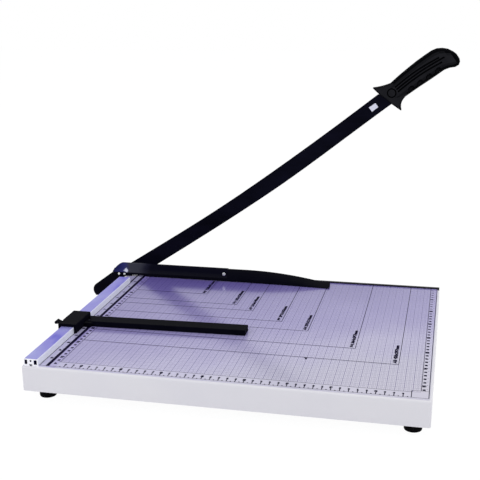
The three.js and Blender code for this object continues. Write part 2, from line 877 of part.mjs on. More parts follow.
// Spring: one unbroken wire, its ends straight along the bolt where they meet the washers
function springCentreline() {
  const points = [];
  const start = seatGap;
  const end = springLength - seatGap;
  const climb = end - start - 2 * springWire;
  const steps = springTurns * springSteps;
  points.push(new THREE.Vector3(springRadius, 0, start));
  for (let step = 0; step <= steps; step += 1) {
    const angle = (2 * Math.PI * step) / springSteps;
    const height = start + springWire + (climb * step) / steps;
    points.push(new THREE.Vector3(springRadius * Math.cos(angle), springRadius * Math.sin(angle), height));
  }
  const endAngle = 2 * Math.PI * springTurns;
  points.push(new THREE.Vector3(springRadius * Math.cos(endAngle), springRadius * Math.sin(endAngle), end));
  return points;
}

// Tube of flat-sided rings, each ring square to the wire's run at its point
function wireTube(points, radius, sides) {
  const rings = points.map((point, k) => {
    const before = points[Math.max(k - 1, 0)];
    const after = points[Math.min(k + 1, points.length - 1)];
    const run = after.clone().sub(before).normalize();
    const out = new THREE.Vector3(point.x, point.y, 0).normalize();
    out.addScaledVector(run, -out.dot(run)).normalize();
    const side = run.clone().cross(out);
    return Array.from({ length: sides }, (_, corner) => {
      const angle = (2 * Math.PI * corner) / sides;
      return point.clone()
        .addScaledVector(out, radius * Math.cos(angle))
        .addScaledVector(side, radius * Math.sin(angle));
    });
  });
  return loft(rings, (p) => new THREE.Vector2(p.x, p.y));
}

// Least distance between stretches of the wire that are at least half a turn apart, less its diameter
function leastGap(points, radius) {
  const apart = springSteps / 2;
  let least = Infinity;
  for (let first = 0; first < points.length; first += 1) {
    for (let second = first + apart; second < points.length; second += 1) {
      least = Math.min(least, points[first].distanceTo(points[second]) - 2 * radius);
    }
  }
  return least;
}

const springPoints = springCentreline();
console.log('pivot spring, least gap to itself in mm:', leastGap(springPoints, springWire / 2).toFixed(2));
node('pivot_spring', alongY(wireTube(springPoints, springWire / 2, springSides), springY), zinc);

// Swinging blade: outline from the heel along the back to the tang, and back along the edge

function bladeOutline(edgeLift) {
  const outline = new THREE.Path();
  const heelRise = THREE.MathUtils.degToRad(openAngle);
  const heelRun = (tailBottom - heelFlat) / Math.tan(heelRise);
  outline.moveTo(-tailLength, -heelFlat);
  outline.lineTo(-tailLength, tailTop - tailCorner);
  outline.absarc(-tailLength + tailCorner, tailTop - tailCorner, tailCorner, Math.PI, Math.PI / 2, true);
  outline.lineTo(-rootTopAt, rootTop);
  outline.bezierCurveTo(0, rootTop, neckingAt / 2, necking + rootEase, neckingAt, necking);
  outline.bezierCurveTo(neckingAt * 4, 0, bellyTopAt * 0.7, -bellyTop * 0.9, bellyTopAt, -bellyTop);
  outline.bezierCurveTo(bellyTopAt * 1.4, -bellyTop, tipAt * 0.85, 0, tipAt, tipTop);
  outline.lineTo(gripStart, -tangTop);
  outline.lineTo(tangEnd, -tangTop);
  outline.lineTo(tangEnd, -tangBottom);
  outline.lineTo(gripStart + tangPocketGap * 4, -tangBottom);
  outline.lineTo(edgeTipAt, -edgeTip + edgeLift);
  outline.bezierCurveTo(edgeTipAt * 0.85, -edgeTip - edgeTipSwell + edgeLift, edgeBellyAt * 1.25,
    -edgeBelly + edgeLift, edgeBellyAt, -edgeBelly + edgeLift);
  outline.bezierCurveTo(edgeBellyAt * 0.7, -edgeBelly + edgeLift, edgeStartAt * 1.8,
    -edgeStart - edgeStartSwell + edgeLift, edgeStartAt, -edgeStart + edgeLift);
  outline.lineTo(-tailLength + heelRun, -tailBottom);
  return outline.getPoints(bladeCurveSteps);
}

const handleScrews = [[bossX, -bossZ], [rearScrewX, -rearScrewZ]];

function makeBlade() {
  const layer = (edgeLift, y) => bladeOutline(edgeLift).map((p) => new THREE.Vector3(p.x, y, p.y));
  const plate = loft([
    layer(0, bladeFrontY),
    layer(0, bladeFrontY + bladeLand),
    layer(bladeBevel, bladeBackY),
  ], (p) => new THREE.Vector2(p.x, p.z));
  const from = bladeFrontY - overrun;
  const to = bladeBackY + overrun;
  const holes = handleScrews.map(([x, z]) => rod('y', handleScrewRadius + boltClearance, from, to, x, z, 12));
  return cut(plate, rod('y', pivotHole, from, to, 0, 0), ...holes);
}

node('swing_blade', makeBlade(), blackSteel, bladeGroup);

// Handle outline as a grip crowned about the seam, and a horned guard in front of it

// Each row: share of the length, top and low in shares of the length, half width as a share
const gripShares = [
  [0, 0.0631, -0.1856, 0.58],
  [0.14, 0.0649, -0.1892, 0.82],
  [0.28, 0.0847, -0.1856, 0.95],
  [0.42, 0.0982, -0.1847, 1],
  [0.56, 0.1081, -0.1865, 1],
  [0.68, 0.1108, -0.1856, 1],
  [0.77, 0.1099, -0.1838, 0.98],
  [0.84, 0.0955, -0.2, 0.95],
  [0.9, 0.0595, -0.2306, 0.88],
  [0.95, 0.0108, -0.2342, 0.74],
  [0.985, -0.0541, -0.2072, 0.5],
  [1, -0.0991, -0.1712, 0.22],
];

// Grip sizes at one share of its length, between the hand-chosen stations
function gripAt(share) {
  const next = Math.max(1, gripShares.findIndex(([at]) => at >= share));
  const [a, b] = [gripShares[next - 1], gripShares[next]];
  const blend = (share - a[0]) / (b[0] - a[0]);
  const length = gripEnd - gripStart;
  const mix = (k) => a[k] + (b[k] - a[k]) * blend;
  return { top: mix(1) * length, low: mix(2) * length, half: mix(3) * gripHalf };
}

// Crown height of the grip over the seam at a place on its side
function gripCrown(x, z) {
  const { top, low, half } = gripAt((x - gripStart) / (gripEnd - gripStart));
  const middle = (top + low) / 2;
  const reach = (top - low) / 2;
  const share = Math.min(1, Math.abs(z - middle) / reach);
  return half * Math.pow(1 - Math.pow(share, 2.4), 1 / 2.2);
}

function makeGrip() {
  const rings = gripShares.map(([share]) => {
    const x = gripStart + share * (gripEnd - gripStart);
    const { top, low } = gripAt(share);
    const middle = (top + low) / 2;
    const reach = (top - low) / 2;
    const ring = [];
    for (let point = 0; point <= gripArcSteps; point += 1) {
      const z = middle + reach * Math.cos((point * Math.PI) / gripArcSteps);
      ring.push(new THREE.Vector3(x, -gripCrown(x, z), z));
    }
    ring[0].y = 0;
    ring[gripArcSteps].y = 0;
    return ring;
  });
  return loft(rings, (p) => new THREE.Vector2(p.y, p.z));
}

function makeHorns() {
  const outline = new THREE.Path();
  outline.moveTo(hornTopX, hornTopZ);
  const topBend = (hornTopX + hornRootX) / 2;
  outline.quadraticCurveTo(topBend, hornRootTop + hornEase, hornRootX, hornRootTop - hornEase);
  outline.lineTo(hornRootX + overrun, 0);
  outline.lineTo(hornFilletX, -hornRootLow + hornEase);
  outline.quadraticCurveTo(hornLowX + hornSweep, -hornRootLow - hornEase / 2, hornLowX, -hornLowZ);
  outline.quadraticCurveTo(hornFrontX + hornHollow, -hornRootLow, hornFrontX, -hornFrontZ);
  outline.quadraticCurveTo(hornFrontX - hornSweep, 0, hornTopX, hornTopZ);
  const points = outline.getPoints(6).slice(0, -1);
  const centre = new THREE.Vector2(bossX, -bossZ);
  const layers = [[0, 1], [-hornHalf * 0.72, 1], [-hornHalf * 0.92, 0.95], [-hornHalf, 0.84]];
  const rings = layers.map(([y, share]) => points.map((p) => {
    const q = p.clone().sub(centre).multiplyScalar(share).add(centre);
    return new THREE.Vector3(q.x, y, q.y);
  }));
  return loft(rings, (p) => new THREE.Vector2(p.x, p.z));
}

// Three long grooves down the grip's side, following its crown; the outer two stop short
function gripGrooves() {
  const length = grooveEndX - grooveStartX;
  const outerShare = 0.92;
  return [-1, 0, 1].map((line) => {
    const reach = line === 0 ? 1 : outerShare;
    const points = [];
    for (let step = 0; step <= grooveSteps; step += 1) {
      const share = step / grooveSteps;
      const x = grooveStartX + length * share * reach;
      const z = -grooveMiddleZ + grooveArch * Math.sin(Math.PI * share) + line * grooveSpacing;
      points.push(new THREE.Vector3(x, grooveSink - gripCrown(x, z), z));
    }
    const section = new THREE.Shape();
    section.absarc(0, 0, gripGroove, 0, 2 * Math.PI);
    const path = new THREE.CatmullRomCurve3(points);
    const geometry = new THREE.ExtrudeGeometry(section, { steps: 2 * grooveSteps, extrudePath: path, curveSegments: 3 });
    return toSolid(outward(mergeVertices(bareGeometry(geometry), 1e-4)));
  });
}

function bareGeometry(geometry) {
  geometry.deleteAttribute('normal');
  geometry.deleteAttribute('uv');
  return geometry;
}

function gripDimples() {
  return Array.from({ length: dimpleCount }, (_, k) => {
    const x = dimpleStartX + k * dimplePitch;
    const ball = new THREE.SphereGeometry(1, 10, 7);
    ball.scale(dimpleLong, dimpleDeep, dimpleWide);
    ball.rotateY(-dimpleTurn);
    ball.translate(x, -gripCrown(x, -dimpleZ), -dimpleZ);
    return toSolid(ball);
  });
}

// Ring groove round the boss, sunk to one depth in the crowned side
function bossRing() {
  const floor = -hornHalf + bossGrooveDeep;
  const outside = -2 * gripHalf;
  const wide = rod('y', bossRadius + bossGroove, outside, floor, bossX, -bossZ, 24);
  return wide.subtract(rod('y', bossRadius - bossGroove, outside - overrun, floor + overrun, bossX, -bossZ, 24));
}

// Half shell on the side of -Y with its seam at zero
function makeHandleHalf() {
  const pocketDepth = bladeThick / 2 + seatGap - handleSeam / 2;
  const pocket = block(
    [hornTopX - overrun, -pocketDepth, -tangBottom - tangPocketGap],
    [tangEnd + tangPocketGap, overrun, -tangTop + tangPocketGap],
  );
  const mouth = block(
    [hornTopX - 2 * overrun, -pocketDepth, -edgeTip - 3 * overrun],
    [gripStart + 2 * tangPocketGap + overrun, overrun, tipTop + overrun],
  );
  const body = join(makeGrip(), makeHorns());
  return cut(body, pocket, mouth, ...gripGrooves(), ...gripDimples(), bossRing());
}

const frontSeamY = bladeMidY - handleSeam / 2;
const backSeamY = bladeMidY + handleSeam / 2;
const handleHalf = makeHandleHalf();
const frontWells = handleScrews.map(([x, z]) => rod('y', handleScrewRadius + boltClearance,
  frontSeamY - handleScrewReach, frontSeamY + overrun, x, z, 12));
node('handle_front', cut(handleHalf.translate([0, frontSeamY, 0]), ...frontWells), blackPlastic, bladeGroup);

const backWells = handleScrews.flatMap(([x, z]) => [
  rod('y', handleScrewRadius + boltClearance, backSeamY - overrun, backSeamY + gripHalf + overrun, x, z, 12),
  rod('y', handleScrewHead + 2 * boltClearance, backSeamY + handleScrewWell, backSeamY + gripHalf + overrun, x, z),
]);
const backHalf = handleHalf.mirror([0, 1, 0]).translate([0, backSeamY, 0]);
node('handle_back', cut(backHalf, ...backWells), blackPlastic, bladeGroup);

handleScrews.forEach(([x, z], k) => {
  const seat = backSeamY + handleScrewWell + seatGap;
  const length = seat - frontSeamY + handleScrewReach - overrun;
  const screw = cut(
    panScrew(handleScrewRadius, handleScrewHead, handleScrewHeadHeight, length),
    slotAcross(handleScrewHead, handleScrewHeadHeight),
  ).rotate([-90, 0, 0]).translate([x, seat, z]);
  node(`handle_screw_${k + 1}`, screw, zinc, bladeGroup);
});

// Finger guard: both pieces share one leaning face swept along the cutting line

function fallShare(x) {
  return THREE.MathUtils.clamp((x - barFallStart) / (barTongueLeft - barFallStart), 0, 1);
}

// Height of the guard's upper edge over the bed, x counted from the ruler's zero
function guardTop(x) {
  const shoulder = THREE.MathUtils.clamp((x + railLeft) / railShoulder, 0, 1);
  const fall = fallShare(x);
  const body = railHeight * (1 - Math.pow(1 - shoulder, railShoulderCurve));
  return bedTop + body + (barTongueHeight - railHeight) * fall * fall;
}

function barTop(x) {
  return guardTop(x) - barDrop * (1 - fallShare(x));
}

// Front face of the guard at a place and a height
function guardFace(x, z) {
  const swing = Math.max(0, (x - barFallStart) / (barRight - barFallStart));
  const front = guardFrontY - barFrontSwing * swing * swing;
  const full = x > barFallStart ? guardTop(x) - bedTop : railHeight;
  const share = Math.max(0, z - bedTop) / full;
  return front + (guardTopY - front) * share * share;
}

// Body behind the guard's face, its back filling up to a plane where the guard falls
function guardBody(stations, thickness, offset, low, highAt) {
  const rings = stations.map((x) => {
    const outer = [];
    for (let point = 0; point <= guardSteps; point += 1) {
      const z = low + ((highAt(x) - low) * point) / guardSteps;
      outer.push(new THREE.Vector2(guardFace(x, z) + offset, z));
    }
    const back = guardTopY + thickness / 2;
    const inner = outer.map((p) => {
      const y = p.x + thickness + fallShare(x) * (back - p.x - thickness);
      return new THREE.Vector2(y, p.y);
    });
    return [...outer, ...inner.reverse()].map((p) => new THREE.Vector3(rulerZero + x, p.x, p.y));
  });
  return loft(rings, (p) => new THREE.Vector2(p.y, p.z));
}

function evenStations(from, to, count) {
  return Array.from({ length: count + 1 }, (_, k) => from + ((to - from) * k) / count);
}

function shoulderStations(from, to) {
  return [...evenStations(from, -railLeft + railShoulder, 7), ...evenStations(-railLeft + railShoulder, to, 4).slice(1)];
}

// Hole through the guard square to the cutting line
function guardHole(radius, x, z) {
  return rod('y', radius + boltClearance, guardFrontY - 2 * overrun, cutY, rulerZero + x, bedTop + z, 12);
}

// Widest place of the shoulder that still leaves the rail a strip over its lower edge
const railStart = -railLeft + railShoulder / 5;

function makeRail() {
  const sheet = guardBody(shoulderStations(railStart, railRight), railSheet, 0, bedTop + railLow, guardTop);
  return cut(sheet, guardHole(guardScrewRadius, guardScrewX, guardScrewZ));
}

node('guard_rail', makeRail(), blackSteel);

function makePressBar() {
  const lower = bedTop - seatGap;
  const fall = evenStations(barFallStart, barRight, barSteps);
  const stations = [...shoulderStations(-barLeft, barFallStart), ...fall.slice(1)];
  const body = guardBody(stations, barWall, 0, lower, barTop);
  const recess = guardBody(shoulderStations(-railLeft - overrun, railRight + seatGap),
    railSheet + seatGap + overrun, -overrun, bedTop + railLow - seatGap, (x) => guardTop(x) + barWall);
  const frontCut = guardFrontY - barFrontSwing - overrun;
  const arch = block([rulerZero - barFootRight, frontCut, bedTop - overrun],
    [rulerZero + barFootRight, cutY, bedTop + barArch]);
  const relief = block([rulerZero + barFootRight - overrun, frontCut, bedTop - overrun],
    [rulerZero + barRight + overrun, cutY, bedTop + paperGap]);
  const screws = footScrews.map((x) => guardHole(railScrewRadius, -x, railScrewZ));
  return cut(body, recess, arch, relief, guardHole(guardScrewRadius, guardScrewX, guardScrewZ), ...screws);
}

node('press_bar', makePressBar(), blackPlastic);

const guardScrewPlace = rulerZero + guardScrewX;
const guardSeatY = guardFace(guardScrewX, bedTop + guardScrewZ - guardScrewHead) - seatGap;
const guardScrew = cut(
  panScrew(guardScrewRadius, guardScrewHead, guardScrewHeadHeight, guardScrewLength),
  slotAcross(guardScrewHead, guardScrewHeadHeight).rotate([0, 0, 35]),
).rotate([90, 0, 0]).translate([guardScrewPlace, guardSeatY, bedTop + guardScrewZ]);
node('guard_screw', guardScrew, zinc);

const guardNutTop = bedTop + guardScrewZ + hexRadius(guardNutAcross);
const guardNutY = guardFace(guardScrewX, guardNutTop) + barWall + guardNutGap;
const guardNut = hexNut(guardNutAcross, guardNutHeight, guardScrewRadius + boltClearance)
  .rotate([-90, 0, 0])
  .translate([guardScrewPlace, guardNutY, bedTop + guardScrewZ]);
node('guard_nut', guardNut, zinc);

// Angle bracket behind the guard's left foot, screwed down to the tray

function makeAngle() {
  const left = rulerZero - angleLeft;
  const right = rulerZero - angleRight;
  const shape = new THREE.Shape();
  const back = angleFrontY + angleReach;
  const lean = guardFace(0, trayTop + angleUpright) - guardFrontY + seatGap;
  shape.moveTo(angleFrontY, trayTop);
  shape.lineTo(back, trayTop);
  shape.lineTo(back, trayTop + angleSheet);
  shape.lineTo(angleFrontY + 2 * angleSheet, trayTop + angleSheet);
  shape.absarc(angleFrontY + 2 * angleSheet, trayTop + 2 * angleSheet, angleSheet, 1.5 * Math.PI, Math.PI, true);
  shape.lineTo(angleFrontY + lean + angleSheet, trayTop + angleUpright);
  shape.lineTo(angleFrontY + lean, trayTop + angleUpright);
  shape.closePath();
  const body = extruded(shape, right - left).rotate([90, 0, 90]).translate([left, 0, 0]);
  const screws = footScrews.map((x) => guardHole(railScrewRadius, -x, railScrewZ));
  const down = rod('z', angleScrewRadius + boltClearance, trayTop - overrun, trayTop + 2 * angleSheet,
    angleScrewX, angleScrewY, 12);
  return cut(body, down, ...screws);
}

node('guard_angle', makeAngle(), blackSteel);

footScrews.forEach((x, k) => {
  const seat = guardFace(-x, bedTop) - seatGap;
  const screw = panScrew(railScrewRadius, railScrewHead, railScrewHeadHeight, railScrewLength, 12)
    .rotate([90, 0, 0])
    .translate([rulerZero - x, seat, bedTop + railScrewZ]);
  node(`rail_screw_${k + 1}`, screw, zinc);
});

const angleScrew = panScrew(angleScrewRadius, angleScrewHead, angleScrewHeadHeight, angleScrewLength, 12)
  .translate([angleScrewX, angleScrewY, trayTop + angleSheet]);
node('angle_screw', angleScrew, zinc);

// Sliding gauge: saddle

const saddleInnerLeft = fenceFace - fenceWidth - saddleRun;
const saddleLeft = saddleInnerLeft - saddleWall;
const saddleInnerRight = fenceFace + saddleRun;
const saddleRight = saddleInnerRight + saddleWall;
const saddleCeiling = trayTop + fenceHeight + saddleRun;
const saddleTop = saddleCeiling + saddleRoof;
const saddleBackY = saddleCentreY + saddleLength / 2;
const saddleFrontY = saddleCentreY - saddleLength / 2;
const saddleLow = bedTop + skirtClear;
const leverFrontY = saddleFrontY + leverInset;
const leverBackY = leverFrontY + leverLength;
const leverPinX = saddleLeft + saddleWall / 2;
const pinFrontY = leverFrontY - leverPinReach;
const pinBackY = leverBackY + leverPinReach;
const lugRight = saddleRight + lugReach;
const lugTop = bedTop + armRise + lugHeight;
const armStartX = rulerZero + armLeft;
const armScrewX = (saddleRight + armStartX) / 2;
const tongueTop = lugTop + seatGap + armTongue;
const armTop = bedTop + armRise + armHeight;

function makeSaddle() {
  const shape = new THREE.Shape();
  shape.moveTo(saddleLeft, saddleLow);
  shape.lineTo(saddleLeft, saddleTop - saddleCrown);
  shape.quadraticCurveTo(saddleLeft, saddleTop, saddleLeft + saddleCrown, saddleTop);
  shape.lineTo(saddleRight - saddleCrown, saddleTop);
  shape.quadraticCurveTo(saddleRight, saddleTop, saddleRight, saddleTop - saddleCrown);
  shape.lineTo(saddleRight, saddleLow);
  shape.lineTo(saddleInnerRight, saddleLow);
  shape.lineTo(saddleInnerRight, saddleCeiling);
  shape.lineTo(saddleInnerLeft, saddleCeiling);
  shape.lineTo(saddleInnerLeft, saddleLow);
  shape.closePath();
  const saddle = extrudedY(shape, saddleFrontY, saddleBackY, 3);
  const lug = block(
    [saddleInnerRight + overrun, tongueCentreY - lugWidth / 2, bedTop + armRise],
    [lugRight, tongueCentreY + lugWidth / 2, lugTop],
  );
  const windowTop = leverPinZ + leverHub + leverGap;
  const window = block(
    [saddleLeft - overrun, leverFrontY - leverGap, bedTop],
    [saddleInnerLeft + overrun, leverBackY + leverGap, windowTop],
  );
  const tabRoom = block(
    [saddleLeft - overrun, leverFrontY - leverGap, windowTop - overrun],
    [leverPinX + leverHub, leverBackY + leverGap, saddleTop + overrun],
  );
  const screwHole = rod('z', armScrewRadius + boltClearance, bedTop, tongueTop, armScrewX, tongueCentreY, 12);
  const pinHole = rod('y', leverPinRadius + boltClearance / 2, saddleFrontY - overrun, pinBackY, leverPinX,
    leverPinZ, 12);
  return cut(join(saddle, lug), window, tabRoom, screwHole, pinHole);
}

// Arm: shallow channel open underneath, its tongue screwed down on the saddle's lug.
// It sits turned by a small angle on its one screw.

function makeArm() {
  const half = armWidth / 2;
  const edge = armWall / 3;
  const low = bedTop + armRise;
  const armRight = rulerZero + armEnd;
  const shape = new THREE.Shape();
  shape.moveTo(armCentreY - half, low);
  shape.lineTo(armCentreY - half, armTop - edge);
  shape.lineTo(armCentreY - half + edge, armTop);
  shape.lineTo(armCentreY + half - edge, armTop);
  shape.lineTo(armCentreY + half, armTop - edge);
  shape.lineTo(armCentreY + half, low);
  shape.closePath();
  const barLeftX = saddleRight + seatGap;
  const bar = extruded(shape, armRight - barLeftX).rotate([90, 0, 90]).translate([barLeftX, 0, 0]);
  const slant = new THREE.Shape();
  slant.moveTo(barLeftX - overrun, armCentreY - half - overrun);
  slant.lineTo(armStartX, armCentreY - half - overrun);
  slant.lineTo(barLeftX, armCentreY + half);
  slant.lineTo(barLeftX - overrun, armCentreY + half);
  slant.closePath();
  const rootCut = extruded(slant, armHeight + 2 * overrun).translate([0, 0, low - overrun]);
  const tongue = block(
    [saddleRight + seatGap, tongueCentreY - lugWidth / 2, lugTop + seatGap],
    [armStartX + armWall, tongueCentreY + lugWidth / 2, tongueTop],
  );
  const socket = block(
    [saddleRight, tongueCentreY - lugWidth / 2 - seatGap, bedTop],
    [lugRight + seatGap, tongueCentreY + lugWidth / 2 + seatGap, lugTop + seatGap],
  );
  const hollowStart = lugRight + armWall;
  const pitch = (armRight - armWall - hollowStart) / (armRibs + 1);
  const cells = Array.from({ length: armRibs + 1 }, (_, k) => block(
    [hollowStart + k * pitch + (k === 0 ? 0 : armWall / 2), armCentreY - half + armWall, bedTop],
    [hollowStart + (k + 1) * pitch - (k === armRibs ? 0 : armWall / 2), armCentreY + half - armWall,
      armTop - armWall],
  ));
  const hole = rod('z', armScrewRadius + boltClearance, bedTop, armTop, armScrewX, tongueCentreY, 12);
  const headRoom = rod('z', armScrewHead + seatGap, tongueTop, armTop + overrun, armScrewX, tongueCentreY, 16);
  const straight = cut(join(cut(bar, rootCut), tongue), ...cells);
  const turnedArm = straight
    .translate([-armScrewX, -tongueCentreY, 0])
    .rotate([0, 0, armSkew])
    .translate([armScrewX, tongueCentreY, 0]);
  const saddleRoom = block(
    [saddleLeft, saddleFrontY, bedTop],
    [saddleRight + seatGap, saddleBackY, armTop + overrun],
  );
  return cut(turnedArm, saddleRoom, socket, hole, headRoom);
}

node('gauge_saddle', makeSaddle(), blackPlastic);
node('gauge_arm', makeArm(), blackPlastic);

const armScrewLength = tongueTop - bedTop - 2 * armRise;
node('gauge_screw', panScrew(armScrewRadius, armScrewHead, armScrewHeadHeight, armScrewLength, 12)
  .translate([armScrewX, tongueCentreY, tongueTop]), blackSteel);

// Thumb lever: tab flaring out above the pin to a bead, pad below it held against the fence's side

function makeLever() {
  const beadX = saddleLeft - leverTabOut;
  const beadZ = leverTabTop - leverBead;
  const padX = fenceFace - fenceWidth - leverPadGap;
  const shape = new THREE.Shape();
  shape.moveTo(padX, leverFootZ);
  shape.lineTo(padX, leverFootZ + leverSheet);
  shape.lineTo(leverPinX + leverHub / 2, leverPinZ - leverHub);
  shape.absarc(leverPinX, leverPinZ, leverHub, -Math.PI / 4, Math.PI / 2);
  shape.quadraticCurveTo(leverPinX - 2 * leverHub, leverTabTop - leverBead, beadX, leverTabTop);
  shape.absarc(beadX, beadZ, leverBead, Math.PI / 2, 1.5 * Math.PI);
  shape.quadraticCurveTo(saddleLeft - 2 * leverSheet, leverPinZ + leverHub, saddleLeft - leverSheet, leverPinZ);
  shape.quadraticCurveTo(saddleLeft - leverSheet, leverFootZ, leverPinX, leverFootZ - leverSheet / 2);
  shape.closePath();
  const body = extrudedY(shape, leverFrontY, leverBackY, 5);
  const hole = rod('y', leverPinRadius + boltClearance / 2, leverFrontY - overrun, leverBackY + overrun,
    leverPinX, leverPinZ, 12);
  return cut(body, hole);
}

node('gauge_lever', makeLever(), blackPlastic);
node('lever_pin', rod('y', leverPinRadius, pinFrontY, pinBackY - overrun, leverPinX, leverPinZ, 12), zinc);

export default group;
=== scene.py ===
# %% [markdown]
# # A guillotine paper cutter
# The cutter stands open: a pale sheet-steel tray carries a printed bed, a fence with a sliding
# gauge, a finger guard and a long curved blade with a moulded handle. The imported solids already
# have every rigid form, so this lesson is about finish: paint, print, blackened steel and moulded
# plastic. We load the solids as a fixed frame and dress them; nothing in the frame is moved or
# reshaped.

# %% Load the frame
import json
import math
import bmesh
import bpy
from mathutils import Matrix, Vector


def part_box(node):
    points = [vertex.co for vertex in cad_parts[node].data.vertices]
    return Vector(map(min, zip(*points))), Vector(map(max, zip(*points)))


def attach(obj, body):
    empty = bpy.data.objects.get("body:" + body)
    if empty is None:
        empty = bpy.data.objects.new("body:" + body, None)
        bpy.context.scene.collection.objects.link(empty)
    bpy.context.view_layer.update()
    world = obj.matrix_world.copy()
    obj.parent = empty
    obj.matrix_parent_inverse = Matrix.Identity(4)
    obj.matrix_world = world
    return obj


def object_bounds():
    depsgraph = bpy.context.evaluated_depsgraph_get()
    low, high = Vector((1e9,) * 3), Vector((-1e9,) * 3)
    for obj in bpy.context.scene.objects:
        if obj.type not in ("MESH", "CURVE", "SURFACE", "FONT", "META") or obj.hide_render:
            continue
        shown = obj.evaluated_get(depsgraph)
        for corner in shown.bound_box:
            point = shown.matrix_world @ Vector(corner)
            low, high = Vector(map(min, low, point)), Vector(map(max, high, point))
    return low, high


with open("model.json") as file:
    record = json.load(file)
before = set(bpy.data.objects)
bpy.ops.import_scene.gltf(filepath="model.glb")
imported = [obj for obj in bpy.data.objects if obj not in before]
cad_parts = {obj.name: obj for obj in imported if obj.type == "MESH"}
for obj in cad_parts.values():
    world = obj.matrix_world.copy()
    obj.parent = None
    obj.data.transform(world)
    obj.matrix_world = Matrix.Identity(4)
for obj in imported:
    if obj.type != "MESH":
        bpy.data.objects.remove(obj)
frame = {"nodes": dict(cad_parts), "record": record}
solid_box = [list(map(float, corner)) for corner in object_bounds()]
cad = frame["nodes"]

# %% [markdown]
# ## The camera
# The paper formats printed on the bed have known sizes, so their corners tell where the
# photographer stood: 1.2 m from the middle of the bed, to the right of it and 0.43 m above it. A
# camera could be aimed at one point by hand, but a turn that was worked out from the corners
# keeps all of them in place. It is written as a rotation vector, an axis as long as the angle. It
# turns the scene into the picture's axes, where the second runs down and the third away from the
# eye; Blender's camera has these two the other way round, so they change sign.

# %% Stand the camera in its place
MM = 0.001
CAMERA_PLACE = Vector((249.1, -1118.6, 434.5)) * MM
CAMERA_TURN = Vector((1.83386621, 0.202368476, -0.170851289))
SENSOR_WIDTH_MM = 36.0
FOCAL_LENGTH_MM = 68.284
FAR_LIMIT = 50.0
camera_data = bpy.data.cameras.new("studio_camera")
camera_data.sensor_width = SENSOR_WIDTH_MM
camera_data.lens = FOCAL_LENGTH_MM
camera_data.clip_end = FAR_LIMIT
camera = bpy.data.objects.new("studio_camera", camera_data)
bpy.context.scene.collection.objects.link(camera)
into_picture = Matrix.Rotation(CAMERA_TURN.length, 3, CAMERA_TURN.normalized())
look = Matrix((into_picture[0], -into_picture[1], -into_picture[2])).transposed()
camera.matrix_world = Matrix.Translation(CAMERA_PLACE) @ look.to_4x4()
bpy.context.scene.camera = camera
print("camera is", round(CAMERA_PLACE.length, 3), "m from the middle of the bed")

# %% [markdown]
# ## Light
# Small products are photographed in a tent of white cloth, which gives soft light from all round
# and a background that fades to white. A plain white world does the same. Seen by the camera or
# in a mirror it is white; as a light it is dimmer, because pale enamel would otherwise burn out.
# Three broad panels give the light a direction: one hangs above, one stands at the front left and
# one far out on the right. A light path node tells by which kind of ray a surface is seen.


# %% Helpers: nodes of a world or a material
def new_node(tree, kind, values=None, **settings):
    made = tree.nodes.new(kind)
    for key, setting in settings.items():
        setattr(made, key, setting)
    for socket, value in (values or {}).items():
        made.inputs[socket].default_value = value
    return made


def seen_by(tree, *rays):
    path = new_node(tree, "ShaderNodeLightPath")
    seen = path.outputs[rays[0]]
    for ray in rays[1:]:
        either = new_node(tree, "ShaderNodeMath", operation="MAXIMUM")
        tree.links.new(seen, either.inputs[0])
        tree.links.new(path.outputs[ray], either.inputs[1])
        seen = either.outputs[0]
    return seen


def show_two(tree, share, lit, seen, output):
    mix = new_node(tree, "ShaderNodeMixShader")
    for out, socket in zip((share, lit.outputs[0], seen.outputs[0]), mix.inputs):
        tree.links.new(out, socket)
    tree.links.new(mix.outputs[0], new_node(tree, output).inputs["Surface"])


# %% Tent of light
TENT_AS_LIGHT = {"Color": (0.95, 0.96, 1.0, 1.0), "Strength": 0.55}
TENT_AS_SEEN = {"Color": (1.0, 1.0, 1.0, 1.0), "Strength": 1.0}
scene = bpy.context.scene
scene.view_settings.view_transform = "Standard"
scene.world = bpy.data.worlds.new("light_tent")
scene.world.use_nodes = True
tent = scene.world.node_tree
tent.nodes.clear()
show_two(
    tent,
    seen_by(tent, "Is Camera Ray", "Is Transmission Ray", "Is Glossy Ray"),
    new_node(tent, "ShaderNodeBackground", TENT_AS_LIGHT),
    new_node(tent, "ShaderNodeBackground", TENT_AS_SEEN),
    "ShaderNodeOutputWorld",
)
print("tent lights at", TENT_AS_LIGHT["Strength"], "of what the camera sees")

# %% Light panels
BED_MIDDLE = Vector((0.0, 0.0, 0.0))
# name, place, width and height in metres, and watts
PANELS = [
    ("panel_above", Vector((0.1, -0.1, 1.9)), 1.8, 1.4, 11.0),
    ("panel_front", Vector((-1.0, -1.9, 0.9)), 1.2, 1.0, 12.0),
    ("panel_right", Vector((2.2, -0.3, 0.7)), 1.8, 1.2, 12.0),
]
for name, place, width, height, watts in PANELS:
    panel = bpy.data.lights.new(name, "AREA")
    panel.shape = "RECTANGLE"
    panel.size = width
    panel.size_y = height
    panel.energy = watts
    lamp = bpy.data.objects.new(name, panel)
    lamp.location = place
    lamp.rotation_euler = (BED_MIDDLE - place).to_track_quat("-Z", "Y").to_euler()
    scene.collection.objects.link(lamp)
print("hung", len(PANELS), "light panels")

# %% [markdown]
# ## Floor
# The floor is a wide sheet of white paper under the feet. Seen straight by the camera it glows a
# little, so it melts into the white background, yet it still takes a faint shadow of the cutter.
# It is one big square; the helper that turns its mesh into an object serves for every new piece.


# %% Helper: an object from a mesh
def new_object(name, bm, material):
    mesh = bpy.data.meshes.new(name)
    bm.to_mesh(mesh)
    bm.free()
    mesh.materials.append(material)
    made = bpy.data.objects.new(name, mesh)
    scene.collection.objects.link(made)
    return made


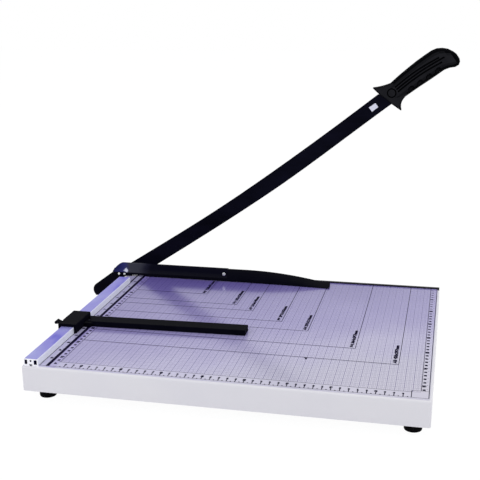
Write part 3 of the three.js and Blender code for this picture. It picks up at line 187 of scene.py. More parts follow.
# %% White paper
PAPER_WHITE = {"Color": (0.9, 0.9, 0.9, 1.0)}
PAPER_GLOW = {"Strength": 1.06}
GLOW_SHARE = 0.9
white_paper = bpy.data.materials.new("white_paper")
white_paper.use_nodes = True
paper = white_paper.node_tree
paper.nodes.clear()
glow_share = new_node(paper, "ShaderNodeMath", {1: GLOW_SHARE}, operation="MULTIPLY")
paper.links.new(seen_by(paper, "Is Camera Ray", "Is Glossy Ray"), glow_share.inputs[0])
show_two(
    paper,
    glow_share.outputs[0],
    new_node(paper, "ShaderNodeBsdfDiffuse", PAPER_WHITE),
    new_node(paper, "ShaderNodeEmission", PAPER_GLOW),
    "ShaderNodeOutputMaterial",
)
print("white paper is made of", len(paper.nodes), "nodes")

# %% Paper floor
FLOOR_HALF = 6.0
feet_level = solid_box[0][2]
floor_bm = bmesh.new()
floor_bm.faces.new([
    floor_bm.verts.new((side * FLOOR_HALF, end * FLOOR_HALF, feet_level))
    for side, end in ((-1, -1), (1, -1), (1, 1), (-1, 1))
])
paper_floor = new_object("paper_floor", floor_bm, white_paper)
print("floor lies at", round(feet_level / MM, 1), "mm")

# %% [markdown]
# ## A bench for finishes
# Every finish starts from the same shader. The helpers below make it and give it small tools that
# add a texture, a colour ramp or a bump. The colour and roughness that a finish starts with stay
# under the texture, for programs that can't read one. The bench grows step by step, from wires to
# sums, textures and colours, and each class takes over the tools of the one before.


# %% Helper: a shader and its wires
class Wires:
    def __init__(self, name, color, roughness, metallic=0.0, specular=0.5):
        self.name = name
        self.material = bpy.data.materials.new(name)
        self.material.use_nodes = True
        self.tree = self.material.node_tree
        self.shader = self.tree.nodes["Principled BSDF"]
        self.set("Base Color", (*color, 1.0))
        self.set("Roughness", roughness)
        self.set("Metallic", metallic)
        self.set("Specular IOR Level", specular)
        self.place = self.node("ShaderNodeTexCoord").outputs["Object"]

    def node(self, kind, values=None, **settings):
        return new_node(self.tree, kind, values, **settings)

    def set(self, socket, value):
        self.shader.inputs[socket].default_value = value

    def link(self, out, to):
        self.tree.links.new(out, self.shader.inputs[to] if isinstance(to, str) else to)

    # a socket takes a number, a colour or what another node gives
    def fill(self, socket, value):
        if isinstance(value, (int, float)):
            socket.default_value = value
        elif isinstance(value, tuple):
            socket.default_value = (*value, 1.0)
        else:
            self.link(value, socket)

    def report(self):
        print(self.name, "is made of", len(self.tree.nodes), "nodes")


# %% Helper: sums
class Sums(Wires):
    def math(self, operation, first, second=0.0):
        made = self.node("ShaderNodeMath", operation=operation)
        self.fill(made.inputs[0], first)
        self.fill(made.inputs[1], second)
        return made.outputs[0]

    def times(self, first, second):
        return self.math("MULTIPLY", first, second)

    def apart(self, first, second):
        return self.math("ABSOLUTE", self.math("SUBTRACT", first, second))

    def most(self, first, *others):
        for other in others:
            first = self.math("MAXIMUM", first, other)
        return first

    # from start to end the value changes evenly from low to high
    def between(self, value, low, high, start=0.0, end=1.0):
        values = {"From Min": start, "From Max": end, "To Min": low, "To Max": high}
        made = self.node("ShaderNodeMapRange", values)
        self.link(value, made.inputs["Value"])
        return made.outputs["Result"]

    def axes(self, vector):
        made = self.node("ShaderNodeSeparateXYZ")
        self.link(vector, made.inputs[0])
        return made.outputs

    def facing(self):
        return self.axes(self.node("ShaderNodeNewGeometry").outputs["Normal"])


# %% [markdown]
# ### Textures and colours
# Textures run in object space, where one unit is a metre, so a scale of 1000 gives grains about a
# millimetre wide. Stretching space along one axis draws the grains out into streaks. A ramp turns
# the grey of a noise into colours, and a bump turns it into relief a few microns deep.

# %% Helper: textures
NOISE_MIDDLE = 0.5


class Textures(Sums):
    def stretched(self, x, y, z):
        mapping = self.node("ShaderNodeMapping", {"Scale": (x, y, z)})
        self.link(self.place, mapping.inputs["Vector"])
        return mapping.outputs[0]

    def noise(self, scale, detail=3.0, roughness=0.55, vector=None):
        values = {"Scale": scale, "Detail": detail, "Roughness": roughness}
        made = self.node("ShaderNodeTexNoise", values)
        self.link(vector or self.place, made.inputs["Vector"])
        return made.outputs["Fac"]

    # a noise about nought, over this reach from its lowest to its highest
    def waver(self, reach, scale, detail, roughness=0.55):
        noise = self.noise(scale, detail, roughness)
        return self.times(self.math("SUBTRACT", noise, NOISE_MIDDLE), reach)


# %% Helper: colours, gloss and relief
MICRON = 0.000001
ANY_STOP = 0.5
# a mix node keeps its sockets for colours behind those for numbers
MIX_COLOR_INPUTS = (0, 6, 7)
MIX_COLOR_OUTPUT = 2


class Finish(Textures):
    def ramp(self, value, stops):
        made = self.node("ShaderNodeValToRGB")
        elements = made.color_ramp.elements
        while len(elements) < len(stops):
            elements.new(ANY_STOP)
        for element, (at, color) in zip(elements, stops):
            element.position = at
            element.color = (*color, 1.0)
        self.link(value, made.inputs["Fac"])
        return made.outputs["Color"]

    def blend(self, share, first, second):
        made = self.node("ShaderNodeMix", data_type="RGBA")
        for number, value in zip(MIX_COLOR_INPUTS, (share, first, second)):
            self.fill(made.inputs[number], value)
        return made.outputs[MIX_COLOR_OUTPUT]

    def bump(self, height, microns, strength):
        made = self.node("ShaderNodeBump", {"Distance": microns * MICRON, "Strength": strength})
        self.link(height, made.inputs["Height"])
        self.link(made.outputs["Normal"], "Normal")

    def color_by(self, value, stops):
        self.link(self.ramp(value, stops), "Base Color")

    def roughness_by(self, value, low, high):
        self.link(self.between(value, low, high), "Roughness")


# %% [markdown]
# ## Painted sheet steel
# The tray is pressed from sheet and sprayed with a pale, slightly violet grey. Sprayed enamel is
# never quite flat: it has a fine ripple like orange skin, and its tone drifts over a long wall. A
# small ripple in the bump and a slow drift in colour and gloss are enough.

# %% Enamel
enamel = Finish("tray_enamel", (0.75, 0.74, 0.78), 0.42, specular=0.3)
enamel.color_by(enamel.noise(7.0, detail=2.0), [
    (0.3, (0.72, 0.71, 0.76)),
    (0.7, (0.76, 0.75, 0.785)),
])
enamel.roughness_by(enamel.noise(35.0), 0.36, 0.5)
enamel.bump(enamel.noise(700.0, detail=2.0), microns=40, strength=0.5)
enamel.set("Coat Weight", 0.15)
enamel.set("Coat Roughness", 0.3)
enamel.report()

# %% [markdown]
# ## The printed film
# The bed is a glossy film, lilac with a net of lines every centimetre, finer ones halfway and
# dots between them. The net repeats for ever, so it is drawn by arithmetic inside the finish: the
# distance to the nearest whole step tells whether a point lies on a line. The rulers and
# outlines, which stop and turn, are drawn later as real strips of ink. Places on the print are
# given as x, from the ruler's zero to the right, and as a depth from the cutting line to the
# front.

# %% Where the print lies
RULER_ZERO = -0.2196
CUT_LINE = 0.197
CENTIMETRE = 0.010
PRINT_BACK = 0.004
PRINT_RIGHT = 0.4583
THICK_LINE = 0.0092
STRIP_RIGHT = 0.0203
NET_LEFT = 0.0206
NET_RIGHT = 0.4491
NET_FRONT = 0.3702


def on_bed(x, depth):
    return Vector((RULER_ZERO + x, CUT_LINE - depth, 0.0))


print("zero of the rulers lies at", [round(c / MM, 1) for c in on_bed(0.0, 0.0)], "mm")

# %% Film and its places
film = Finish("bed_film", (0.40, 0.36, 0.62), 0.17)
film_place = film.axes(film.place)
film_x = film.math("SUBTRACT", film_place["X"], RULER_ZERO)
film_depth = film.math("SUBTRACT", CUT_LINE, film_place["Y"])


def near_line(value, pitch, half_width):
    return film.math("LESS_THAN", film.math("PINGPONG", value, pitch / 2), half_width)


def inside(value, low, high):
    return film.times(film.math("GREATER_THAN", value, low), film.math("LESS_THAN", value, high))


film.report()

# %% Net of lines and dots
# what is measured, pitch, half of a line's width, share of ink
NET_LINES = [
    (film_x, CENTIMETRE, 0.00030, 0.85),
    (film_depth, CENTIMETRE, 0.00030, 0.6),
    (film_x, CENTIMETRE / 2, 0.00014, 0.45),
    (film_depth, CENTIMETRE / 2, 0.00016, 0.4),
]
DOT_PITCH = CENTIMETRE / 5
DOT_HALF = 0.00034
DOT_SHARE = 0.85
net_lines = [
    film.times(near_line(value, pitch, half_width), share)
    for value, pitch, half_width, share in NET_LINES
]
dots = film.times(*(near_line(value, DOT_PITCH, DOT_HALF) for value in (film_x, film_depth)))
net_room = film.times(
    inside(film_x, NET_LEFT, NET_RIGHT),
    inside(film_depth, PRINT_BACK, NET_FRONT),
)
net_share = film.times(film.most(*net_lines, film.times(dots, DOT_SHARE)), net_room)
net_across = round((NET_RIGHT - NET_LEFT) / CENTIMETRE)
print("film net runs over", net_across, "by", round(NET_FRONT / CENTIMETRE), "cm")

# %% [markdown]
# ### Tones of the film
# The film is deep violet at its back left corner and pales towards the front and the right,
# because it mirrors the studio's white. Painted as a slow drift along a slanting line it looks
# the same from every side. The rulers along three sides are printed on a paler ground and the
# centimetre strip beside the fence on a darker one.

# %% Lilac with a painted reflection that drifts
DRIFT_BY_X = 0.75
DRIFT_BY_DEPTH = 1.6
DRIFT_CLOUD = 0.2
# painted reflection: the lilac pales towards the front and the right, where it mirrors white
slope = film.math("ADD", film.times(film_x, DRIFT_BY_X), film.times(film_depth, DRIFT_BY_DEPTH))
drift = film.math("ADD", slope, film.waver(DRIFT_CLOUD, 9.0, detail=2.0))
film_tone_and_painted_reflection = film.ramp(film.between(drift, 0.0, 1.0, start=0.1, end=0.98), [
    (0.0, (0.15, 0.118, 0.375)),
    (0.1, (0.175, 0.142, 0.41)),
    (0.21, (0.245, 0.210, 0.48)),
    (0.42, (0.345, 0.31, 0.585)),
    (0.53, (0.385, 0.35, 0.61)),
    (0.66, (0.525, 0.495, 0.70)),
    (0.77, (0.575, 0.555, 0.69)),
    (0.94, (0.61, 0.585, 0.685)),
])
film.report()

# %% Grounds of the rulers, and the net on top
PALE_GROUND = (0.60, 0.585, 0.72)
PALE_SHARE = 0.5
PALE_FRONT = 0.6
STRIP_GROUND = (0.30, 0.25, 0.58)
STRIP_SHARE = 0.45
NET_INK = (0.05, 0.035, 0.19)
pale_places = film.most(
    film.times(film.math("GREATER_THAN", film_depth, NET_FRONT), PALE_FRONT),
    film.math("LESS_THAN", film_x, THICK_LINE),
    film.math("GREATER_THAN", film_x, PRINT_RIGHT),
)
strip_share = film.times(inside(film_x, THICK_LINE, STRIP_RIGHT), STRIP_SHARE)
film_color = film.blend(film.times(pale_places, PALE_SHARE), film_tone_and_painted_reflection, PALE_GROUND)
film_color = film.blend(strip_share, film_color, STRIP_GROUND)
film.link(film.blend(net_share, film_color, NET_INK), "Base Color")
film.roughness_by(film.noise(60.0, detail=4.0), 0.12, 0.2)
film.bump(film.noise(260.0, detail=2.0), microns=20, strength=0.25)
film.report()

# %% [markdown]
# ## Anodised aluminium
# The fence is drawn through a die, which leaves fine streaks along its length, and it mirrors the
# lilac bed, so its top looks blue; that blue is painted into its colour as a painted reflection.
# The streaks are a noise stretched along the fence. Its right side is painted pale, as painted
# light, and its sawn front end, bare metal, is painted pale with painted light too, so the colour
# also goes by the way a face looks; the two cells that run through it are painted dark inside, as
# painted shade.

# %% Streaks, patches and painted reflection of the fence
anodised = Finish("fence_aluminium", (0.36, 0.35, 0.62), 0.4, metallic=0.3, specular=0.2)
die_marks = anodised.stretched(30.0, 0.5, 30.0)
drawn = anodised.noise(60.0, detail=4.0, roughness=0.6, vector=die_marks)
long_clouds = anodised.stretched(1.0, 0.55, 1.0)
patches = anodised.noise(26.0, detail=2.0, roughness=0.5, vector=long_clouds)
# painted reflection: the blue of the top stands for the lilac bed that it mirrors
top_with_painted_reflection = anodised.ramp(patches, [
    (0.34, (0.14, 0.13, 0.60)),
    (0.42, (0.25, 0.23, 0.66)),
    (0.55, (0.30, 0.29, 0.68)),
    (0.72, (0.36, 0.37, 0.72)),
])
anodised.roughness_by(drawn, 0.34, 0.5)
anodised.bump(drawn, microns=30, strength=0.4)
anodised.report()

# %% Painted light on the side and end, painted shade in the cells of the fence
FENCE_MIDDLE = -0.2299
CELL_REACH = 0.0084
CELL_ROOF = 0.0075
# painted light: the right side is painted pale, and the sawn end, bare metal, is painted pale
# with painted light too
SIDE_PAINTED_LIGHT = (0.88, 0.90, 1.0)
SAWN_END_AND_PAINTED_LIGHT = (0.92, 0.92, 0.98)
# painted shade inside the two cells
CELL_SHADE = (0.03, 0.03, 0.12)
fence_facing = anodised.facing()
fence_place = anodised.axes(anodised.place)
facing_right = anodised.between(fence_facing["X"], 0.0, 1.0, start=0.3, end=0.8)
facing_front = anodised.between(fence_facing["Y"], 1.0, 0.0, start=-0.9, end=-0.5)
in_cell = anodised.times(
    anodised.math("LESS_THAN", anodised.apart(fence_place["X"], FENCE_MIDDLE), CELL_REACH),
    anodised.math("LESS_THAN", fence_place["Z"], CELL_ROOF),
)
fence_color = anodised.blend(facing_right, top_with_painted_reflection, SIDE_PAINTED_LIGHT)
fence_color = anodised.blend(in_cell, fence_color, CELL_SHADE)
anodised.link(anodised.blend(facing_front, fence_color, SAWN_END_AND_PAINTED_LIGHT), "Base Color")
anodised.link(anodised.between(facing_right, 0.3, 0.04), "Metallic")
anodised.report()

# %% [markdown]
# ## Blackened steel
# The swinging blade, its bracket and the pivot bolt are blackened and lacquered: nearly black
# with a cold tint, and with faint smears that show in the gloss. One cloudy noise, drawn out a
# little, sets both the tone and the gloss, so that the two change together as they do in a real
# coat.

# %% Blackened steel
black_steel = Finish("blackened_steel", (0.002, 0.002, 0.006), 0.3, specular=0.02)
wiped = black_steel.stretched(1.0, 1.0, 2.5)
smear = black_steel.noise(18.0, detail=5.0, roughness=0.65, vector=wiped)
black_steel.color_by(smear, [
    (0.35, (0.0016, 0.0016, 0.0045)),
    (0.65, (0.0035, 0.0035, 0.010)),
])
black_steel.roughness_by(smear, 0.24, 0.42)
black_steel.bump(black_steel.noise(420.0), microns=20, strength=0.3)
black_steel.report()

# %% [markdown]
# ## Lacquered rail of the guard
# The guard's rail is steel under a glossy lacquer. What it mirrors is painted into its colour: a
# painted reflection of the fence in blue near its left foot, then grey, ending in the black of
# the lacquer, and at one spot a small white painted glint. The tones lie along x, as a ramp with
# a little waver in it; the glint is a small lozenge, because the distances along two axes are
# added.

# %% Lacquered rail with its painted reflection
RAIL_REFLECTION_LEFT = -0.264
RAIL_REFLECTION_RIGHT = -0.144
RAIL_WAVER = 0.014
GLINT_X = -0.2408
GLINT_Z = 0.0078
GLINT_CORE = 0.0024
GLINT_EDGE = 0.0048
GLINT_WHITE = (0.62, 0.64, 0.78)
rail_steel = Finish("rail_lacquer", (0.003, 0.003, 0.008), 0.22, specular=0.02)
rail_place = rail_steel.axes(rail_steel.place)
rail_cloud = rail_steel.waver(RAIL_WAVER, 45.0, detail=4.0, roughness=0.6)
rail_x = rail_steel.math("ADD", rail_place["X"], rail_cloud)
along_rail = rail_steel.between(rail_x, 0.0, 1.0, start=RAIL_REFLECTION_LEFT, end=RAIL_REFLECTION_RIGHT)
# painted reflection: the fence's blue near the left foot, then grey, then the black of the
# lacquer
rail_painted_reflection = rail_steel.ramp(along_rail, [
    (0.0, (0.006, 0.007, 0.035)),
    (0.09, (0.012, 0.014, 0.085)),
    (0.17, (0.024, 0.026, 0.12)),
    (0.24, (0.038, 0.039, 0.055)),
    (0.38, (0.034, 0.035, 0.050)),
    (0.47, (0.010, 0.010, 0.022)),
    (0.55, (0.0018, 0.0018, 0.007)),
])
rail_steel.report()

# %% Painted glint and gloss of the rail
# painted glint: a small white lozenge on the lacquer beside the screw
from_spot = rail_steel.math(
    "ADD",
    rail_steel.apart(rail_x, GLINT_X),
    rail_steel.apart(rail_place["Z"], GLINT_Z),
)
painted_glint = rail_steel.between(from_spot, 1.0, 0.0, start=GLINT_CORE, end=GLINT_EDGE)
rail_steel.link(rail_steel.blend(painted_glint, rail_painted_reflection, GLINT_WHITE), "Base Color")
rail_steel.roughness_by(rail_steel.noise(30.0, detail=4.0), 0.2, 0.34)
rail_steel.bump(rail_steel.noise(420.0), microns=20, strength=0.3)
rail_steel.report()

# %% [markdown]
# ## Fixed blade
# The bar on the back wall is ground along its length and darkened. The grinding lines come from a
# noise that is stretched along x and squeezed across it, and they set tone, gloss and relief
# alike.

# %% Fixed blade steel
ground_steel = Finish("fixed_blade_steel", (0.02, 0.02, 0.026), 0.35, specular=0.1)
ground_along = ground_steel.stretched(0.6, 20.0, 20.0)
ground_lines = ground_steel.noise(80.0, detail=4.0, roughness=0.6, vector=ground_along)
ground_steel.color_by(ground_lines, [
    (0.3, (0.004, 0.004, 0.007)),
    (0.7, (0.010, 0.010, 0.014)),
])
ground_steel.roughness_by(ground_lines, 0.3, 0.45)
ground_steel.bump(ground_lines, microns=20, strength=0.3)
ground_steel.report()

# %% [markdown]
# ## Moulded plastic
# The press bar, the gauge and the handle are moulded in black plastic with an even satin grain.
# On the press bar and the gauge the faces that look up are painted a little paler, as painted
# light from above. The handle's flat faces are painted brightest and its rounded sides nearly
# black, as painted light and painted shade, and its grooves and dimples lie in shade. Soft light
# alone leaves them too shallow, so ambient occlusion, which measures how much of the sky a point
# sees, darkens the hollows in the colour, as painted shade.

# %% Black moulding
MOULD_GRAIN = 1500.0
plastic = Finish("black_moulding", (0.008, 0.008, 0.010), 0.6, specular=0.008)
wear = plastic.noise(24.0, detail=4.0, roughness=0.6)
# painted light: the faces that look up are painted paler
facing_up = plastic.between(plastic.facing()["Z"], 0.0, 1.0, start=0.5, end=0.95)
plastic_plain = plastic.ramp(wear, [
    (0.3, (0.0022, 0.0022, 0.0050)),
    (0.75, (0.0040, 0.0040, 0.0085)),
])
plastic_top_painted_light = plastic.ramp(wear, [
    (0.3, (0.0048, 0.0048, 0.0066)),
    (0.75, (0.0080, 0.0080, 0.0105)),
])
plastic.link(plastic.blend(facing_up, plastic_plain, plastic_top_painted_light), "Base Color")
plastic.roughness_by(wear, 0.5, 0.7)
plastic.bump(plastic.noise(MOULD_GRAIN, roughness=0.6), microns=50, strength=0.5)
plastic.report()

# %% Satin face of the handle, with painted light and painted shade
HOLLOW_REACH = 0.005
HOLLOW_RAYS = 8
HOLLOW_SHUT = 0.66
HOLLOW_OPEN = 0.93
SIDE_SHADE = (0.0006, 0.0006, 0.0012)
satin = Finish("handle_satin", (0.008, 0.008, 0.010), 0.55, specular=0.01)
satin_cloud = satin.noise(60.0, detail=4.0, roughness=0.6)
across = satin.math("ABSOLUTE", satin.facing()["Y"])
# painted light and shade: flat faces are painted brightest, rounded sides nearly black
flat_face = satin.between(across, 0.0, 1.0, start=0.80, end=0.96)
# painted shade: ambient occlusion darkens the colour in the grooves and dimples
sky = satin.node(
    "ShaderNodeAmbientOcclusion",
    {"Distance": HOLLOW_REACH},
    samples=HOLLOW_RAYS,
    only_local=True,
)
open_place = satin.between(sky.outputs["AO"], 0.0, 1.0, start=HOLLOW_SHUT, end=HOLLOW_OPEN)
satin_face_painted_light = satin.ramp(satin_cloud, [
    (0.3, (0.0110, 0.0110, 0.0135)),
    (0.7, (0.0155, 0.0155, 0.0180)),
])
light_and_shade_share = satin.times(flat_face, open_place)
satin.link(satin.blend(light_and_shade_share, SIDE_SHADE, satin_face_painted_light), "Base Color")
satin.roughness_by(satin_cloud, 0.45, 0.62)
satin.bump(satin.noise(MOULD_GRAIN, roughness=0.6), microns=50, strength=0.5)
satin.report()

# %% [markdown]
# ## Zinc and rubber
# The screws, nuts, washers and the spring are zinc plated: a bare metal, so it is fully metallic
# in the shader, with a cloudy tint that is here a little cold and there a little warm. The feet
# are matt black rubber with dust in its pores.

# %% Zinc plate
zinc = Finish("zinc_plate", (0.55, 0.56, 0.58), 0.3, metallic=1.0)
zinc_cloud = zinc.noise(160.0, detail=4.0, roughness=0.6)
zinc.color_by(zinc_cloud, [
    (0.3, (0.48, 0.50, 0.53)),
    (0.7, (0.62, 0.62, 0.60)),
])
zinc.roughness_by(zinc_cloud, 0.22, 0.42)
zinc.bump(zinc.noise(900.0), microns=20, strength=0.3)
zinc.report()

# %% Rubber
rubber = Finish("foot_rubber", (0.003, 0.003, 0.004), 0.75, specular=0.03)
rubber_dust = rubber.noise(300.0, detail=4.0)
rubber.color_by(rubber_dust, [
    (0.4, (0.0015, 0.0015, 0.002)),
    (0.75, (0.006, 0.006, 0.007)),
])
rubber.roughness_by(rubber_dust, 0.66, 0.86)
rubber.bump(rubber.noise(1200.0), microns=60, strength=0.5)
rubber.report()

# %% [markdown]
# ## Dress the solids
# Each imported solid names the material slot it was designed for. A small table turns that name
# into one of the finishes, and every solid gets it in its first slot. Three solids have a finish
# of their own: the guard's lacquered rail and the two halves of the handle.

# %% One finish for each slot
finish_of_slot = {
    "tray_enamel": enamel,
    "bed_print": film,
    "fence_aluminium": anodised,
    "fixed_blade_steel": ground_steel,
    "blackened_steel": black_steel,
    "black_moulding": plastic,
    "zinc_hardware": zinc,
    "foot_rubber": rubber,
}
finish_of_node = {"guard_rail": rail_steel, "handle_front": satin, "handle_back": satin}
slot_of_node = {part["node"]: part["material_slot"] for part in frame["record"]["subparts"]}
for name, piece in cad.items():
    finish = finish_of_node.get(name, finish_of_slot[slot_of_node[name]])
    piece.data.materials.clear()
    piece.data.materials.append(finish.material)
used = {piece.data.materials[0].name for piece in cad.values()}
print("dressed", len(cad), "solids in", len(used), "finishes")

# %% [markdown]
# ## Ink
# Printed ink is a layer a few hundredths of a millimetre thick. As real strips that stand just
# proud of the film it stays sharp at any distance, which a picture on the film would not. Long
# lines are flat bars, all joined in one mesh. Each is a thin slab: a ring of points below, the
# same ring above, and a wall between them.

# %% Ink finish
ink = Finish("bed_ink", (0.008, 0.006, 0.03), 0.5, specular=0.005)
ink_spread = ink.noise(500.0)
ink.color_by(ink_spread, [
    (0.3, (0.004, 0.003, 0.016)),
    (0.75, (0.010, 0.007, 0.036)),
])
ink.roughness_by(ink_spread, 0.3, 0.5)
ink.report()


# %% Helper: a thin slab
# both rings run against the clock, seen from the side of the second
def close_slab(bm, below, above):
    low = [bm.verts.new(corner) for corner in below]
    high = [bm.verts.new(corner) for corner in above]
    bm.faces.new(low[::-1])
    bm.faces.new(high)
    for k in range(len(low)):
        n = (k + 1) % len(low)
        bm.faces.new((low[k], low[n], high[n], high[k]))


# %% Helpers: bars of ink
INK_SUNK = -0.00002
INK_PROUD = 0.00004


def ink_slab(bm, corners):
    spots = [on_bed(x, depth) for x, depth in corners]
    below, above = ([(spot.x, spot.y, z) for spot in spots] for z in (INK_SUNK, INK_PROUD))
    close_slab(bm, below, above)


def along_blade(bm, depth, left, right, width):
    back, front = depth - width / 2, depth + width / 2
    ink_slab(bm, [(left, front), (right, front), (right, back), (left, back)])


def along_fence(bm, x, back, front, width):
    left, right = x - width / 2, x + width / 2
    ink_slab(bm, [(left, front), (right, front), (right, back), (left, back)])


def printed_piece(name, bm):
    piece = new_object(name, bm, ink.material)
    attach(piece, "base")
    print(name, "holds", len(piece.data.polygons), "faces")


# %% [markdown]
# ## Rulers
# A thick line runs beside the fence, with a strip of centimetres on its right and inches on its
# left; the front edge and the right edge carry centimetres too. Loops draw the ticks, for a ruler
# is only one short bar again and again, and a whole step gets the longer one.

# %% Borders
FRONT_BORDER = 0.3842
LEFT_LINE = -0.0016
RIGHT_BORDER = 0.4579
BOX_LEFT = 0.4389
BOX_BACK = 0.3660
# x, back end, front end, width
LINES_ALONG_FENCE = [
    (LEFT_LINE, PRINT_BACK, FRONT_BORDER, 0.0025),
    (THICK_LINE, PRINT_BACK, FRONT_BORDER, 0.0044),
    (STRIP_RIGHT, PRINT_BACK, NET_FRONT, 0.0005),
    (NET_RIGHT, PRINT_BACK, BOX_BACK, 0.0007),
    (RIGHT_BORDER, PRINT_BACK, FRONT_BORDER, 0.0009),
    (BOX_LEFT, BOX_BACK, FRONT_BORDER, 0.0009),
]
# depth, left end, right end, width
LINES_ALONG_BLADE = [
    (NET_FRONT, STRIP_RIGHT, BOX_LEFT, 0.0006),
    (FRONT_BORDER, LEFT_LINE, RIGHT_BORDER, 0.0006),
    (BOX_BACK, BOX_LEFT, RIGHT_BORDER, 0.0005),
]
ruler_ink = bmesh.new()
for line in LINES_ALONG_FENCE:
    along_fence(ruler_ink, *line)
for line in LINES_ALONG_BLADE:
    along_blade(ruler_ink, *line)
print("drew", len(LINES_ALONG_FENCE) + len(LINES_ALONG_BLADE), "borders")

# %% Ticks in centimetres
FRONT_HALVES = range(5, 88)
FRONT_WHOLE_TICK = {"long": 0.0056, "width": 0.0011}
FRONT_HALF_TICK = {"long": 0.0018, "width": 0.0014}
STRIP_FIFTHS = range(3, 186)
STRIP_WHOLE_TICK = 0.0016
STRIP_FIFTH_TICK = 0.0009
STRIP_TICK_WIDTH = 0.0008
RIGHT_CENTIMETRES = range(1, 37)
RIGHT_TICK_START = 0.0030
RIGHT_TICK_END = 0.0020
RIGHT_TICK_WIDTH = 0.0007
for half in FRONT_HALVES:
    tick = FRONT_WHOLE_TICK if half % 2 == 0 else FRONT_HALF_TICK
    tick_back = FRONT_BORDER - tick["long"]
    along_fence(ruler_ink, half * CENTIMETRE / 2, tick_back, FRONT_BORDER, tick["width"])
for fifth in STRIP_FIFTHS:
    depth = fifth * CENTIMETRE / 5
    tick_left = STRIP_RIGHT - (STRIP_WHOLE_TICK if fifth % 5 == 0 else STRIP_FIFTH_TICK)
    along_blade(ruler_ink, depth, tick_left, STRIP_RIGHT, STRIP_TICK_WIDTH)
for centimetre in RIGHT_CENTIMETRES:
    tick_ends = RIGHT_BORDER - RIGHT_TICK_START, RIGHT_BORDER - RIGHT_TICK_END
    along_blade(ruler_ink, centimetre * CENTIMETRE, *tick_ends, RIGHT_TICK_WIDTH)
tick_count = len(FRONT_HALVES) + len(STRIP_FIFTHS) + len(RIGHT_CENTIMETRES)
print("drew", tick_count, "ticks in centimetres")

# %% Ticks in inches
INCH = 0.0254
INCH_QUARTERS = range(2, 60)
INCH_EDGE = THICK_LINE - 0.002
INCH_WHOLE_TICK = 0.0016
INCH_QUARTER_TICK = 0.0008
INCH_TICK_WIDTH = 0.0004
for quarter in INCH_QUARTERS:
    tick_left = INCH_EDGE - (INCH_WHOLE_TICK if quarter % 4 == 0 else INCH_QUARTER_TICK)
    along_blade(ruler_ink, quarter * INCH / 4, tick_left, INCH_EDGE, INCH_TICK_WIDTH)
printed_piece("bed_rulers", ruler_ink)

# %% [markdown]
# ## Paper formats
# Common paper sizes are laid out from the fence and the cutting line. Each is an angle of two
# thin lines with its name and size in small letters beside the corner. The halving rule behind
# the sizes is generic, so the names can stand on the bed. A small wedge of ink lies in front of
# the largest.

# %% Outlines of the paper sizes
FORMATS = [
    ("A3", 420, 297),
    ("B4", 364, 257),
    ("A4", 297, 210),
    ("B5", 257, 182),
    ("A5", 210, 148),
    ("B6", 182, 128),
    ("B7", 128, 91),
]
FORMAT_SIDE_WIDTH = 0.0008
FORMAT_FRONT_WIDTH = 0.0011
WEDGE = [(0.3065, 0.2978), (0.3095, 0.3045), (0.3110, 0.2980)]
format_ink = bmesh.new()
for _, across_mm, deep_mm in FORMATS:
    x, depth = across_mm * MM, deep_mm * MM
    along_fence(format_ink, x, PRINT_BACK, depth, FORMAT_SIDE_WIDTH)
    along_blade(format_ink, depth, NET_LEFT, x, FORMAT_FRONT_WIDTH)
ink_slab(format_ink, WEDGE)
printed_piece("bed_formats", format_ink)
print("drew", len(FORMATS), "paper sizes")

# %% [markdown]
# ## Numbers and labels
# The numbers and labels read along the fence. They come from Blender's own plain font: a text
# object is turned into mesh, stretched to the length that the print has, and joined with the
# rest. Every fifth number is larger and bolder.

# %% Helper: words in ink
SIZE_OF_DIGIT_HEIGHT = 1.35
LETTER_STEPS = 2
TURNED_TO_FENCE = Matrix.Rotation(math.pi / 2, 4, "Z")
INK_MIDDLE = Vector((0.0, 0.0, (INK_PROUD + INK_SUNK) / 2))


def ink_words(bm, text, x, depth, height, bold, long=None, align="CENTER"):
    curve = bpy.data.curves.new("words", "FONT")
    curve.body = text
    curve.size = height * SIZE_OF_DIGIT_HEIGHT
    curve.offset = bold
    curve.extrude = (INK_PROUD - INK_SUNK) / 2
    curve.resolution_u = LETTER_STEPS
    curve.align_x = align
    curve.align_y = "CENTER"
    letters = bpy.data.objects.new("words", curve)
    scene.collection.objects.link(letters)
    bpy.context.view_layer.update()
    shape = letters.evaluated_get(bpy.context.evaluated_depsgraph_get()).to_mesh()
    reach = [v.co.x for v in shape.vertices]
    stretch = Matrix.Scale(long / (max(reach) - min(reach)) if long else 1.0, 4, (1, 0, 0))
    place = Matrix.Translation(on_bed(x, depth) + INK_MIDDLE)
    shape.transform(place @ TURNED_TO_FENCE @ stretch)
    bm.from_mesh(shape)
    letters.to_mesh_clear()
    bpy.data.objects.remove(letters)
    bpy.data.curves.remove(curve)


# %% Numbers of the rulers
FRONT_NUMBERS = range(3, 44)
FRONT_FIFTH = {"height": 0.0026, "bold": 0.0006, "long": 0.0056}
FRONT_OTHER = {"height": 0.0019, "bold": 0.0003, "long": 0.0046}
FRONT_NUMBERS_DEPTH = 0.3764
STRIP_NUMBERS = range(1, 38)
SIDE_FIFTH = {"height": 0.0035, "bold": 0.0007}
SIDE_OTHER = {"height": 0.0027, "bold": 0.0005}
STRIP_NUMBERS_X = 0.0162
STRIP_NUMBERS_PAST = 0.005
RIGHT_NUMBERS_X = 0.4522
RIGHT_NUMBERS_PAST = 0.003
number_ink = bmesh.new()
for centimetre in FRONT_NUMBERS:
    style = FRONT_FIFTH if centimetre % 5 == 0 else FRONT_OTHER
    x = centimetre * CENTIMETRE
    ink_words(number_ink, str(centimetre), x, FRONT_NUMBERS_DEPTH, **style)
for centimetre in STRIP_NUMBERS:
    style = SIDE_FIFTH if centimetre % 5 == 0 else SIDE_OTHER
    number, depth = str(centimetre), centimetre * CENTIMETRE
    ink_words(number_ink, number, STRIP_NUMBERS_X, depth + STRIP_NUMBERS_PAST, **style)
    if centimetre in RIGHT_CENTIMETRES:
        ink_words(number_ink, number, RIGHT_NUMBERS_X, depth + RIGHT_NUMBERS_PAST, **style)
print("numbers of the rulers hold", len(number_ink.faces), "faces")

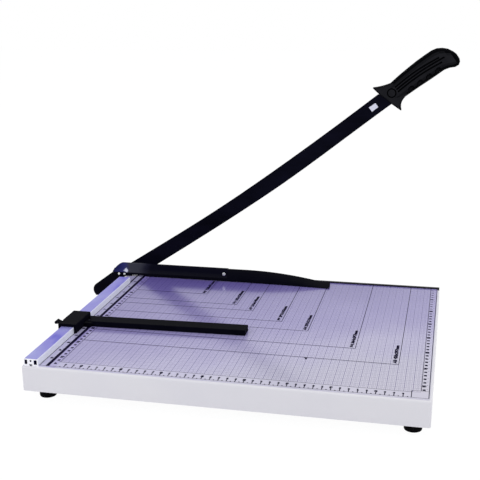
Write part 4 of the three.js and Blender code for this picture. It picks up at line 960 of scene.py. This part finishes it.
# %% Numbers of the inches, and labels of the paper sizes
INCH_NUMBERS = range(1, 15)
INCH_STYLE = {"height": 0.0030, "bold": 0.0006}
INCH_NUMBERS_X = 0.0045
INCH_NUMBERS_PAST = 0.0046
LABEL_STYLE = {"height": 0.0040, "bold": 0.0005, "long": 0.058, "align": "LEFT"}
LABEL_BESIDE_MM = 4.8
LABEL_BEHIND_MM = 4.0
for inch in INCH_NUMBERS:
    depth = inch * INCH + INCH_NUMBERS_PAST
    ink_words(number_ink, str(inch), INCH_NUMBERS_X, depth, **INCH_STYLE)
for name, across_mm, deep_mm in FORMATS:
    label = f"{name} {across_mm}x{deep_mm}mm"
    x, depth = (across_mm - LABEL_BESIDE_MM) * MM, (deep_mm - LABEL_BEHIND_MM) * MM
    ink_words(number_ink, label, x, depth, **LABEL_STYLE)
printed_piece("bed_numbers", number_ink)

# %% [markdown]
# ## The pale sticker
# A small plain label is stuck on the blade beside the handle. It is a bare rectangle of paper,
# bent nowhere, so a thin slab laid on the blade's front face is the honest way to make it. The
# blade stands open at 35.5 degrees about its pivot, and the label turns with it.

# %% Paper of the sticker
label_paper = Finish("label_paper", (0.72, 0.73, 0.84), 0.6)
label_fibre = label_paper.noise(900.0, detail=4.0)
label_paper.color_by(label_fibre, [
    (0.3, (0.66, 0.67, 0.82)),
    (0.7, (0.80, 0.81, 0.90)),
])
label_paper.bump(label_fibre, microns=20, strength=0.4)
label_paper.report()

# %% Sticker on the blade
PIVOT = Vector((-0.2616, 0.0, -0.008))
OPEN_TURN = math.radians(35.5)
BLADE_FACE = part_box("swing_blade")[0].y
STICKER_SUNK = BLADE_FACE + 0.00005
STICKER_PROUD = BLADE_FACE - 0.00012
# along the blade from its pivot, and up from its middle
STICKER_CORNERS = [(0.4787, -0.0120), (0.4897, -0.0115), (0.4895, -0.0045), (0.4784, -0.0044)]


def on_blade(along, up):
    return PIVOT + Vector((
        math.cos(OPEN_TURN) * along - math.sin(OPEN_TURN) * up,
        0.0,
        math.sin(OPEN_TURN) * along + math.cos(OPEN_TURN) * up,
    ))


sticker_bm = bmesh.new()
sticker_spots = [on_blade(along, up) for along, up in STICKER_CORNERS]
close_slab(sticker_bm, *(
    [(spot.x, y, spot.z) for spot in sticker_spots]
    for y in (STICKER_SUNK, STICKER_PROUD)
))
sticker = new_object("blade_sticker", sticker_bm, label_paper.material)
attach(sticker, "blade_arm")
sticker_width = STICKER_CORNERS[1][0] - STICKER_CORNERS[0][0]
print("sticker is", round(sticker_width / MM, 1), "mm wide")
